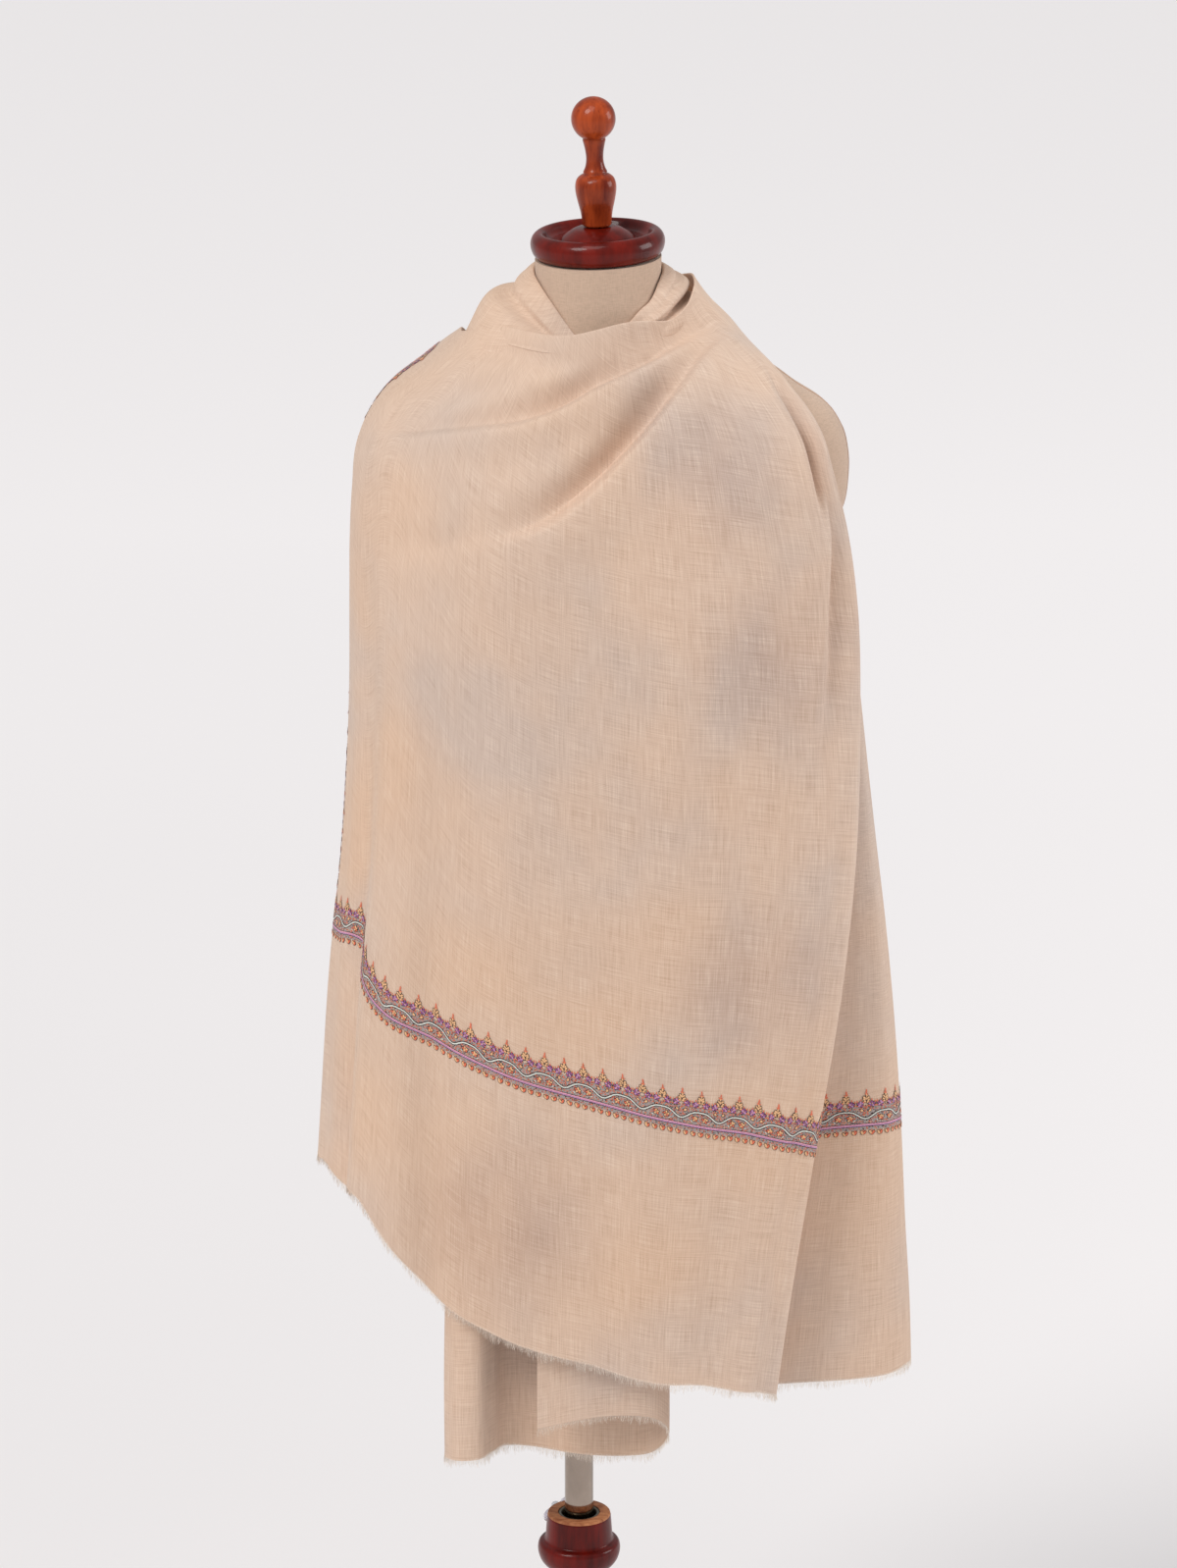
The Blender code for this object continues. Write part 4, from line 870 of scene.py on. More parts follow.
@dataclass(frozen=True)
class Weave:
    """Fine plain-woven wool: slubs along both threads, soft patches of tone, a dry sheen, and painted
    shade in a few spots.

    Attributes:
        name: Name of the material.
        ground: Main colour.
        warm: Colour of the warmer patches.
        cool: Colour of the greyer patches.
        thread: Pitch of the threads in metres.
        slub: Length of the slubs in metres.
        contrast: Strength of the thread streaks.
    """

    name: str
    ground: tuple
    warm: tuple
    cool: tuple
    thread: float = 0.00075
    slub: float = 0.030
    contrast: float = 0.55
    painted_shade_spots: tuple = (  # painted shade spots, where the cloth's colour is darkened to stand in for shade: middle and radius
        ((0.107, -0.090, 1.399), 0.085),
        ((0.168, -0.085, 1.255), 0.100),
        ((0.152, -0.100, 0.962), 0.090),
        ((-0.060, -0.125, 0.750), 0.100),
    )

    def streaks(self, recipe: Recipe, across: float, along: float, offset: float) -> Socket:
        """Noise drawn out along one thread direction."""
        return recipe.noise(recipe.coordinates((1 / across, 1 / along, 1.0 + offset), "UV"), 2.5, 0.62)

    def shadow(self, recipe: Recipe, patch: Socket) -> Socket:
        """How much painted shade: soft balls about the painted shade spots, broken by noise.

        Args:
            recipe: the material in hand
            patch: slow noise that breaks up the edges

        Returns:
            A share of 0 to 1.
        """
        place = recipe.add("TexCoord").outputs["Object"]
        total = None
        # painted shade: each spot darkens the cloth's colour towards its middle
        for middle, radius in self.painted_shade_spots:
            away = recipe.add("VectorMath", {0: place, 1: middle}, operation="DISTANCE").outputs["Value"]
            ball = recipe.ramp(away, 0.15 * radius, radius, 1.0, 0.0)
            total = ball if total is None else recipe.maths("MAXIMUM", total, ball)
        return recipe.maths("MULTIPLY", total, recipe.ramp(patch, 0.30, 0.62, 0.35, 1.0))

    def material(self) -> Material:
        """Build the material."""
        recipe = Recipe(self.name)
        warp = self.streaks(recipe, self.thread, self.slub, 0.0)
        weft = self.streaks(recipe, self.slub, self.thread, 0.3)
        wide_warp = self.streaks(recipe, self.thread * 4, self.slub * 5, 0.6)
        patch = recipe.noise(recipe.coordinates((11.0, 9.0, 8.0)), 2.0, 0.5)
        shadow = self.shadow(recipe, patch)
        patch_two = recipe.noise(recipe.coordinates((5.0, 6.5, 7.0)), 1.0, 0.4)
        tone = recipe.mix(recipe.ramp(patch, 0.42, 0.66), self.ground, self.cool)
        tone = recipe.mix(recipe.ramp(patch_two, 0.40, 0.68), tone, self.warm)
        # painted shade: the cloth's colour is multiplied by a grey tint in the shade spots
        tone = recipe.mix(shadow, tone, (0.80, 0.765, 0.775, 1.0), "MULTIPLY")
        both = recipe.maths("ADD", warp, weft)
        dark = recipe.ramp(both, 0.66, 1.02, self.contrast, 0.0)
        tone = recipe.mix(dark, tone, (0.62, 0.54, 0.47, 1.0), "MULTIPLY")
        light = recipe.ramp(both, 1.06, 1.34, 0.0, self.contrast)
        tone = recipe.mix(light, tone, shade(238, 219, 200))
        column_tone = recipe.ramp(wide_warp, 0.30, 0.62, 0.30, 0.0)
        tone = recipe.mix(column_tone, tone, (0.84, 0.79, 0.76, 1.0), "MULTIPLY")
        recipe.finish({
            "Base Color": tone,
            "Roughness": 0.86,
            "Specular IOR Level": 0.16,
            "Sheen Weight": 0.22,
            "Sheen Roughness": 0.45,
            "Sheen Tint": (1.0, 0.93, 0.86, 1.0),
        })
        recipe.relief(both, 0.00022, 0.75)
        return recipe.material


@dataclass(frozen=True)
class Thread:
    """Embroidery silk or wool in one colour, a little uneven from stitch to stitch."""

    name: str
    colour: tuple
    roughness: float = 0.62

    def material(self) -> Material:
        """Build the material."""
        recipe = Recipe(self.name)
        uneven = recipe.noise(recipe.coordinates((1100.0, 1100.0, 1100.0)), 1.0, 0.6)
        dark = darker(self.colour, 0.72)
        tone = recipe.mix(recipe.ramp(uneven, 0.35, 0.62), dark, self.colour)
        recipe.finish({
            "Base Color": tone,
            "Roughness": self.roughness,
            "Specular IOR Level": 0.3,
            "Sheen Weight": 0.1,
        })
        recipe.relief(uneven, 0.0002, 0.6)
        return recipe.material


@dataclass(frozen=True)
class Linen:
    """Unbleached linen stretched over the form."""

    name: str
    ground: tuple
    thread: float = 0.0006

    def material(self) -> Material:
        """Build the material."""
        recipe = Recipe(self.name)
        fine = 1 / self.thread
        upright = recipe.noise(recipe.coordinates((fine, fine, fine / 14)), 2.0, 0.6)
        level = recipe.noise(recipe.coordinates((fine / 10, fine / 10, fine)), 2.0, 0.6)
        patch = recipe.noise(recipe.coordinates((14.0, 14.0, 10.0)), 2.0, 0.5)
        both = recipe.maths("ADD", upright, level)
        dark = darker(self.ground, 0.80)
        tone = recipe.mix(recipe.ramp(both, 0.70, 1.15), dark, self.ground)
        tone = recipe.mix(recipe.ramp(patch, 0.40, 0.70, 0.0, 0.22), tone, dark)
        recipe.finish({
            "Base Color": tone,
            "Roughness": 0.9,
            "Specular IOR Level": 0.15,
            "Sheen Weight": 0.15,
        })
        recipe.relief(both, 0.00025, 0.8)
        return recipe.material


@dataclass(frozen=True)
class Lacquer:
    """Turned wood under a gloss varnish: faint rings of grain with a darker and a lighter tone."""

    name: str
    dark: tuple
    light: tuple
    grain: tuple = (60.0, 60.0, 9.0)
    gloss: float = 0.16

    def material(self) -> Material:
        """Build the material."""
        recipe = Recipe(self.name)
        grain = recipe.noise(recipe.coordinates(self.grain), 4.0, 0.6)
        pores = recipe.noise(recipe.coordinates((420.0, 420.0, 40.0)), 2.0, 0.6)
        tone = recipe.mix(recipe.ramp(grain, 0.34, 0.66), self.dark, self.light)
        tone = recipe.mix(recipe.ramp(pores, 0.56, 0.70, 0.0, 0.45), tone, self.dark)
        recipe.finish({
            "Base Color": tone,
            "Roughness": recipe.ramp(grain, 0.3, 0.7, self.gloss + 0.10, self.gloss + 0.22),
            "Specular IOR Level": 0.12,
            "Coat Weight": 0.30,
            "Coat Roughness": 0.06,
            "Coat IOR": 1.42,
        })
        recipe.relief(pores, 0.0001, 0.25)
        return recipe.material


@dataclass(frozen=True)
class EndGrain:
    """Bare cut wood at the top of the column."""

    name: str
    dark: tuple
    light: tuple

    def material(self) -> Material:
        """Build the material."""
        recipe = Recipe(self.name)
        rings = recipe.noise(recipe.coordinates((90.0, 260.0, 90.0)), 3.0, 0.65)
        tone = recipe.mix(recipe.ramp(rings, 0.35, 0.65), self.dark, self.light)
        recipe.finish({"Base Color": tone, "Roughness": 0.72})
        recipe.relief(rings, 0.0004, 0.7)
        return recipe.material


@dataclass(frozen=True)
class Metal:
    """Steel with faint lengthwise wear."""

    name: str
    colour: tuple
    roughness: float
    grain: tuple = (900.0, 900.0, 25.0)

    def material(self) -> Material:
        """Build the material."""
        recipe = Recipe(self.name)
        wear = recipe.noise(recipe.coordinates(self.grain), 2.0, 0.6)
        smudge = recipe.noise(recipe.coordinates((55.0, 55.0, 30.0)), 3.0, 0.6)
        dull = darker(self.colour, 0.78)
        both = recipe.maths("MULTIPLY", wear, smudge)
        recipe.finish({
            "Base Color": recipe.mix(recipe.ramp(smudge, 0.35, 0.70), self.colour, dull),
            "Metallic": 1.0,
            "Roughness": recipe.ramp(both, 0.12, 0.42, self.roughness, self.roughness + 0.14),
        })
        recipe.relief(wear, 0.00004, 0.3)
        return recipe.material


@dataclass(frozen=True)
class ClearPlastic:
    """Clear moulded plastic with a faint cool tint."""

    name: str
    tint: tuple

    def material(self) -> Material:
        """Build the material."""
        recipe = Recipe(self.name)
        flow = recipe.noise(recipe.coordinates((160.0, 160.0, 160.0)), 2.0, 0.5)
        settings = {"Base Color": self.tint, "Roughness": recipe.ramp(flow, 0.3, 0.7, 0.05, 0.16)}
        settings.update({"Transmission Weight": 0.72, "IOR": 1.47, "Specular IOR Level": 0.6})
        recipe.finish(settings)
        recipe.relief(flow, 0.0003, 0.3)
        return recipe.material


@dataclass(frozen=True)
class Paper:
    """Matt studio paper for the floor, with a faint painted glow that stands in for light falling on it,
    and painted shade about the middle.
    """

    name: str
    colour: tuple
    # painted shade: share of the colour kept about the middle of the floor
    painted_shade_share: float = 0.83
    # painted light: strength of a faint emission that stands in for light on the paper
    painted_glow: float = 0.05

    def material(self) -> Material:
        """Build the material: painted shade, a little darker about the middle near the stand."""
        recipe = Recipe(self.name)
        place = recipe.add("TexCoord").outputs["Object"]
        away = recipe.add("VectorMath", {0: place}, operation="LENGTH").outputs["Value"]
        mottle = recipe.noise(recipe.coordinates((0.7, 0.7, 0.7)), 1.0, 0.4)
        near = recipe.ramp(recipe.maths("ADD", away, mottle), 1.5, 5.5)
        # painted shade: the floor's colour darkened about the middle, near the stand
        shaded = darker(self.colour, self.painted_shade_share)
        tone = recipe.mix(near, shaded, self.colour)
        recipe.finish({
            "Base Color": tone,
            "Roughness": 0.95,
            "Specular IOR Level": 0.1,
            # painted light: a faint emission brightens the paper though it is no lamp
            "Emission Color": (0.98, 0.98, 1.0, 1.0),
            "Emission Strength": self.painted_glow,
        })
        return recipe.material


PASHMINA = Weave("pashmina", shade(217, 190, 170), shade(219, 187, 162), shade(207, 186, 172))
FRAY_WOOL = Thread("fray_wool", shade(250, 236, 222), 0.8)
FORM_LINEN = Linen("form_linen", shade(206, 178, 156))
SEAM_LINEN = Linen("seam_linen", shade(190, 157, 136))
STAND_WOOD = Lacquer("stand_lacquer", shade(68, 9, 6), shade(112, 19, 10))
CAP_WOOD = Lacquer("cap_lacquer", shade(74, 11, 6), shade(112, 21, 9))
FINIAL_WOOD = Lacquer("finial_lacquer", shade(98, 26, 9), shade(178, 74, 32))
COLUMN_END = EndGrain("column_end_grain", shade(150, 84, 48), shade(198, 132, 86))
POLE_STEEL = Metal("pole_steel", shade(166, 152, 140), 0.08)
BUSH_STEEL = Metal("bush_steel", shade(112, 104, 90), 0.32)
WING_PLASTIC = ClearPlastic("wing_plastic", shade(232, 228, 238))
STUDIO_PAPER = Paper("studio_paper", shade(251, 247, 247))


class Silk(Enum):
    """The embroidery threads, in the order of their material slots."""

    GROUND = Thread("thread_grey_blue", shade(172, 160, 156))
    DARK = Thread("thread_black_brown", shade(60, 34, 36))
    SALMON = Thread("thread_salmon", shade(232, 118, 86))
    OCHRE = Thread("thread_ochre", shade(240, 188, 140))
    PLUM = Thread("thread_plum", shade(150, 88, 140))
    LILAC = Thread("thread_lilac", shade(200, 148, 190))
    ROSE = Thread("thread_rose", shade(238, 170, 190))
    WHITE = Thread("thread_white", shade(226, 228, 218))


# ---- finer folds
class WrinkleRow(NamedTuple):
    """Where a wrinkle lies on one turn, and how deep it is there."""

    turn: float
    z: float
    depth: float


class Wrinkle(NamedTuple):
    """A soft groove, or with a minus a ridge, that runs across the panel."""

    below: float
    above: float
    rows: tuple


WRINKLES = (
    Wrinkle(0.010, 0.016, table(WrinkleRow,  # falls from the left shoulder towards the breast
        (-66, 1.452, 0.000), (-52, 1.462, 0.0030), (-34, 1.480, 0.0034), (-14, 1.497, 0.0022),
        (4, 1.512, 0.000),
    )),
    Wrinkle(0.014, 0.010, table(WrinkleRow,  # ridge under it
        (-60, 1.428, 0.000), (-44, 1.434, -0.0024), (-24, 1.446, -0.0030), (-6, 1.462, 0.000),
    )),
    Wrinkle(0.012, 0.018, table(WrinkleRow,  # soft drag line across the breast
        (-58, 1.338, 0.000), (-42, 1.346, 0.0022), (-22, 1.368, 0.0026), (-4, 1.396, 0.000),
    )),
    Wrinkle(0.016, 0.020, table(WrinkleRow,  # between the two big folds
        (-34, 1.404, 0.000), (-16, 1.426, 0.0028), (2, 1.452, 0.0034), (18, 1.478, 0.0020),
        (34, 1.498, 0.000),
    )),
    Wrinkle(0.010, 0.010, table(WrinkleRow,  # drag lines below the gather on the right
        (22, 1.432, 0.000), (34, 1.452, 0.0022), (50, 1.482, 0.0026), (66, 1.503, 0.000),
    )),
    Wrinkle(0.014, 0.012, table(WrinkleRow,
        (34, 1.376, 0.000), (46, 1.410, -0.0018), (58, 1.452, -0.0024), (72, 1.490, 0.000),
    )),
    Wrinkle(0.030, 0.022, table(WrinkleRow,  # hollow at the inner elbow of the right-hand fold
        (34, 1.246, 0.000), (48, 1.262, 0.0030), (60, 1.290, 0.0034), (72, 1.318, 0.000),
    )),
)
FINE_FOLDS = (
    Fold(5.0, 6.0, table(FoldRow,
        (0.530, -80, 0.0050), (0.900, -80, 0.0040), (1.200, -79, 0.0015), (1.350, -78, 0.0),
    )),
    Fold(5.0, 5.0, table(FoldRow,
        (0.530, -40, -0.0030), (0.800, -41, -0.0034), (1.100, -43, -0.0020), (1.320, -45, 0.0),
    )),
    Fold(4.0, 5.0, table(FoldRow,
        (0.530, -33, 0.0034), (0.800, -34, 0.0038), (1.100, -37, 0.0026), (1.330, -41, 0.0),
    )),
    Fold(7.0, 6.0, table(FoldRow,
        (0.530, -8, 0.0022), (0.800, -8, 0.0024), (1.060, -10, 0.0014), (1.240, -12, 0.0),
    )),
    Fold(6.0, 8.0, table(FoldRow,
        (0.530, 12, -0.0022), (0.780, 13, -0.0024), (1.050, 15, -0.0012), (1.240, 18, 0.0),
    )),
    Fold(4.0, 6.0, table(FoldRow,
        (0.530, 58, 0.0028), (0.800, 59, 0.0030), (1.000, 61, 0.0024), (1.180, 63, 0.0),
    )),
    Fold(4.0, 7.0, table(FoldRow,  # deeper still inside the pocket
        (1.300, 64, 0.0), (1.360, 67, 0.0040), (1.410, 70, 0.0065), (1.450, 71, 0.0060), (1.485, 72, 0.0),
    )),
    Fold(9.0, 10.0, table(FoldRow,  # behind: two soft falls from the shoulder
        (0.700, -118, 0.0090), (1.000, -117, 0.0080), (1.300, -115, 0.0040), (1.440, -114, 0.0),
    )),
    Fold(8.0, 9.0, table(FoldRow,
        (0.700, -152, 0.0070), (1.000, -150, 0.0066), (1.300, -147, 0.0040), (1.460, -146, 0.0),
    )),
)


# ---- the drapes
class Drape:
    """A stretch of cloth as a surface of two parameters, across and level.

    Attributes:
        falls: 1 where a growing level goes down the cloth, -1 where it goes up.
        reach: Small steps of the two parameters, for slopes.
    """

    falls = -1.0
    reach = (0.05, 0.0005)

    def surface(self, across: Array, level: Array) -> Array:
        """Outer points of the cloth."""
        raise NotImplementedError

    def slopes(
        self, across: Array, level: Array, surface: Optional[Callable] = None
    ) -> tuple[Array, Array]:
        """Central differences of a surface, to the right and down the cloth.

        Args:
            across, level: places across and down the cloth
            surface: another surface than the drape's own

        Returns:
            The steps to the right and down.
        """
        at = surface or self.surface
        right = at(across + self.reach[0], level) - at(across - self.reach[0], level)
        down = at(across, level + self.reach[1]) - at(across, level - self.reach[1])
        return right, down * self.falls

    def normal(self, across: Array, level: Array, surface: Optional[Callable] = None) -> Array:
        """Unit normals, down x right, which point away from the form."""
        right, down = self.slopes(across, level, surface)
        return unit(np.cross(down, right))

    @staticmethod
    def weave_map(points: Array) -> Array:
        """Map of a grid in metres: along its lowest row, and up each column from it.

        Args:
            points: grid of points, rows by columns

        Returns:
            Two distances for each point.
        """
        along = run_length(points[-1:], 1)
        up = run_length(points[::-1], 0)[::-1]
        return np.stack((np.broadcast_to(along, up.shape), up), axis=2)

    @staticmethod
    def rolled_edge(points: Array, radius: float = 0.0009, depth: float = 0.014) -> Array:
        """The grid with its upper edge folded over inwards.

        Each column goes on over a half circle of the radius, point = c + r (n cos f + up sin f),
        and then down behind the edge for the depth.

        Args:
            points: grid of points, rows by columns
            radius: radius of the roll
            depth: how far the edge goes down behind

        Returns:
            The grid with the roll's rows before it.
        """
        normal = outward(points)[:1]
        upward = unit(points[:1] - points[1:2])
        middle = points[:1] - normal * radius
        sweep = np.linspace(math.pi, 0.0, 6)[:-1, None, None]
        bend = middle + radius * (normal * np.cos(sweep) + upward * np.sin(sweep))
        drop = np.array((1.0, 0.5))[:, None, None] * depth
        behind = middle - radius * normal - upward * drop
        return np.concatenate((behind, bend, points))


class FrontPanel(Drape):
    """The panel that crosses the chest. across is a turn in degrees, level a height."""

    columns = (26, 70, 98, 14)
    row_counts = (26, 8, 24, 8, 42, 84)

    def plan(self, turn: Array, z: Array) -> Array:
        """Points of the panel without its folds.

        Each front quarter is a superellipse, (sin q, cos q) / (sin^n q + cos^n q)^(1/n); the
        stretches beyond are quarter ellipses to the back edge and to the end of the lip.

        Args:
            turn, z: places round the section in degrees, and heights

        Returns:
            Points.
        """
        left = turn < 0
        angle = np.radians(np.abs(turn))
        names = ("back_x", "left_x", "back_y", "left_y", "end_x", "right_x", "end_y", "right_y")
        rows = {name: read(FRONT_ROWS, "z", name, z) for name in names + ("front_y", "square")}
        tail_x = np.where(left, rows["back_x"], rows["end_x"])
        tail_y = np.where(left, rows["back_y"], rows["end_y"])
        reach_x = np.where(left, rows["left_x"], rows["right_x"])
        reach_y = np.where(left, rows["left_y"], rows["right_y"])
        square = rows["square"]
        quarter = np.clip(angle, 0.0, math.pi / 2)
        swell = (np.sin(quarter) ** square + np.cos(quarter) ** square) ** (-1.0 / square)
        x = FRONT_X + (reach_x - FRONT_X) * np.sin(quarter) * swell
        y = reach_y + (rows["front_y"] - reach_y) * np.cos(quarter) * swell
        beyond = np.clip(angle - math.pi / 2, 0.0, math.pi / 2)
        x = np.where(angle > math.pi / 2, tail_x + (reach_x - tail_x) * np.cos(beyond), x)
        y = np.where(angle > math.pi / 2, reach_y + (tail_y - reach_y) * np.sin(beyond), y)
        return np.stack((x, y, z), axis=-1)

    def depth(self, turn: Array, z: Array) -> Array:
        """How far all folds, creases and wrinkles take the cloth in.

        Args:
            turn, z: places round the section in degrees, and heights

        Returns:
            Depths in metres.
        """
        total = np.zeros_like(z)
        for crease in CREASES:
            line = read(GUIDE_ROWS, "turn", crease.line, turn)
            line = line - crease.drop * read(GUIDE_ROWS, "turn", "step", turn)
            total += read(crease.rows, "turn", "depth", turn) * bell(z - line, crease.below, crease.above)
        for fold in HANGING_FOLDS + FINE_FOLDS:
            across = turn - read(fold.rows, "z", "turn", z)
            total += read(fold.rows, "z", "depth", z) * bell(across, fold.before, fold.after)
        for wrinkle in WRINKLES:
            from_line = z - read(wrinkle.rows, "turn", "z", turn)
            deep = read(wrinkle.rows, "turn", "depth", turn)
            total += deep * bell(from_line, wrinkle.below, wrinkle.above)
        return total

    def surface(self, across: Array, level: Array) -> Array:
        """Outer points, the plan moved in by the folds along its own normals."""
        depth = self.depth(across, level)[..., None]
        return self.plan(across, level) - self.normal(across, level, self.plan) * depth

    def heights(self, turns: Array, levels: Array) -> Array:
        """Height of each level on each turn; a whole level is a guide line.

        Args:
            turns: places round the section, in degrees
            levels: guide lines, in whole and part steps

        Returns:
            Heights.
        """
        step = read(GUIDE_ROWS, "turn", "step", turns)
        cowl = read(GUIDE_ROWS, "turn", "cowl", turns)
        gather = read(GUIDE_ROWS, "turn", "gather", turns)
        high = read(GUIDE_ROWS, "turn", "high", turns)
        chest = read(GUIDE_ROWS, "turn", "chest", turns)
        low = read(GUIDE_ROWS, "turn", "low", turns) + FRINGE_DROP
        lines = np.stack((high, cowl, cowl - step, gather, gather - step, chest, low))
        above = np.clip(np.floor(levels).astype(int), 0, len(lines) - 2)
        share = (levels - above)[:, None]
        return lines[above] * (1.0 - share) + lines[above + 1] * share

    def grid(self) -> Array:
        """Outer points from the neckline to the woven hem."""
        turns = spaced((-180.0, -90.0, 0.0, 90.0, 180.0), self.columns)
        z = self.heights(turns, spaced(range(7), self.row_counts))
        return self.surface(np.broadcast_to(turns, z.shape), z)

    def build(self, cloth: Material, wool: Material) -> bpy.types.Object:
        """Make the panel, its fray and its embroidery.

        Args:
            cloth, wool: the woven cloth and the fray's wool

        Returns:
            The panel.
        """
        points = self.grid()
        skin = Gather("front_panel", [cloth])
        skin.shell(self.rolled_edge(points), self.weave_map(self.rolled_edge(points)))
        piece = skin.build("form", "cloth", ["shawl_front"])
        fray = Fray("front_fray", 2).build(points[-1], wool, "fringe_front")
        band = Sozni("front_border", LevelBand(self, PANEL_BAND, (-176.0, 172.0))).build()
        side = Sozni("back_border", UprightBand(self, EDGE_BAND, (1.484, 1.002), 1.0)).build()
        return piece


class SideStrip(Drape):
    """The strip beyond the panel's right fold.

    across is 0 to 1 on the half-turn, 2 at the reach and 3 behind.
    """

    columns = (6, 34, 26)
    rows = 130
    top_level = 4.5  # the panel's level where the strip starts
    slant = 0.085  # how much lower its free edge starts
    falls_at = ((1.25, 0.14, 0.0030), (1.62, 0.12, -0.0034), (2.20, 0.16, 0.0040), (2.66, 0.15, -0.0040))

    def plan(self, place: Array, z: Array) -> Array:
        """A half circle at the fold, then quarter ellipses out to the reach and back to the free edge.

        Args:
            place, z: places along the strip from 0 to 3, and heights

        Returns:
            Points.
        """
        end_x = read(FRONT_ROWS, "z", "end_x", z)
        end_y = read(FRONT_ROWS, "z", "end_y", z)
        reach_x = read(SIDE_ROWS, "z", "reach_x", z)
        reach_y = read(SIDE_ROWS, "z", "reach_y", z)
        back_x = read(SIDE_ROWS, "z", "back_x", z)
        back_y = read(SIDE_ROWS, "z", "back_y", z)
        start_y = end_y + 2 * TURN_RADIUS
        bend = np.clip(place, 0.0, 1.0) * math.pi
        run = np.clip(place - 1.0, 0.0, 1.0) * math.pi / 2
        tail = np.clip(place - 2.0, 0.0, 1.0) * math.pi / 2
        x = end_x - SEAM - TURN_RADIUS * np.sin(bend)
        y = end_y + TURN_RADIUS * (1.0 - np.cos(bend))
        x = np.where(place > 1.0, end_x - SEAM + (reach_x - end_x + SEAM) * np.sin(run), x)
        y = np.where(place > 1.0, reach_y + (start_y - reach_y) * np.cos(run), y)
        x = np.where(place > 2.0, back_x + (reach_x - back_x) * np.cos(tail), x)
        y = np.where(place > 2.0, reach_y + (back_y - reach_y) * np.sin(tail), y)
        return np.stack((x, y, z), axis=-1)

    def surface(self, across: Array, level: Array) -> Array:
        """Outer points, with soft hanging falls that fade towards the shoulder.

        Args:
            across, level: places across and down the cloth

        Returns:
            Points.
        """
        fade = np.clip((1.30 - level) / 0.40, 0.0, 1.0)
        depth = sum(deep * bell(across - at, wide, wide) for at, wide, deep in self.falls_at) * fade
        return self.plan(across, level) - self.normal(across, level, self.plan) * depth[..., None]

    def grid(self, panel: FrontPanel) -> Array:
        """Outer points from the shoulder to the woven hem.

        Args:
            panel: the panel that the strip comes from

        Returns:
            Points.
        """
        places = spaced((0.0, 1.0, 2.0, 3.0), self.columns)
        top = panel.heights(np.array([180.0]), np.array([self.top_level]))[0, 0]
        low = smooth(np.array([1.0, 2.0, 3.0]), np.array(SIDE_LOW), places) + FRINGE_DROP
        top = top - self.slant * (places / 3.0) ** 1.5
        z = top + (low - top) * np.linspace(0.0, 1.0, self.rows)[:, None]
        return self.surface(np.broadcast_to(places, z.shape), z)

    def build(
        self, panel: FrontPanel, cloth: Material, wool: Material
    ) -> bpy.types.Object:
        """Make the strip, its fray and its embroidery.

        Args:
            panel: the panel that the strip comes from
            cloth, wool: the woven cloth and the fray's wool

        Returns:
            The strip.
        """
        points = self.grid(panel)
        skin = Gather("side_strip", [cloth])
        skin.shell(points, self.weave_map(points))
        piece = skin.build("form", "cloth", ["shawl_side"])
        fray = Fray("side_fray", 3).build(points[-1], wool, "fringe_side")
        band = Sozni("side_border", LevelBand(self, STRIP_BAND, (0.9, 2.62))).build()
        edge = Sozni("side_edge_border", UprightBand(self, STRIP_EDGE, (1.238, 0.832), -1.0)).build()
        return piece


class NeckWrap(Drape):
    """The gathered cloth round the neck. across is a heading in degrees, level a share of the way down."""

    falls = 1.0
    reach = (0.2, 0.004)
    columns = 150
    rows = 46

    def surface(self, across: Array, level: Array) -> Array:
        """A sloping collar with a bulge, sin(pi s), and creases that part its rolls.

        Args:
            across, level: places across and down the cloth

        Returns:
            Points.
        """
        rows = {name: read(NECK_ROWS, "heading", name, across) for name in NeckRow._fields[1:]}
        crease = rows["crease"] * bell(level - rows["crease_at"], 0.07, 0.09)
        second = rows["crease"] * 0.45 * bell(level - rows["crease_at"] * 0.45, 0.07, 0.07)
        ripple = 0.0014 * np.sin(np.radians(across) * 5.0 + 9.0 * level) * np.sin(math.pi * level)
        lift = (rows["bulge"] - crease - second) * np.sin(math.pi * level) + ripple
        drop = rows["high"] - rows["low"]
        slant = np.hypot(rows["outer"] - rows["inner"], drop)
        radius = rows["inner"] + (rows["outer"] - rows["inner"]) * level + lift * drop / slant
        height = rows["high"] - drop * level + lift * (rows["outer"] - rows["inner"]) / slant
        angle = np.radians(across)
        return np.stack((NECK_X + radius * np.sin(angle), -radius * np.cos(angle), height), axis=-1)

    def build(self, cloth: Material) -> bpy.types.Object:
        """Make the wrap with its upper edge folded in.

        Args:
            cloth: the woven cloth

        Returns:
            The wrap.
        """
        headings = np.linspace(NECK_ROWS[0].heading, NECK_ROWS[-1].heading, self.columns)
        heading, share = np.meshgrid(headings, np.linspace(0.0, 1.0, self.rows))
        points = self.rolled_edge(self.surface(heading, share), 0.0019, 0.006)
        skin = Gather("neck_wrap", [cloth])
        skin.shell(points, self.weave_map(points))
        piece = skin.build("form", "cloth", ["shawl_neck"])
        return piece


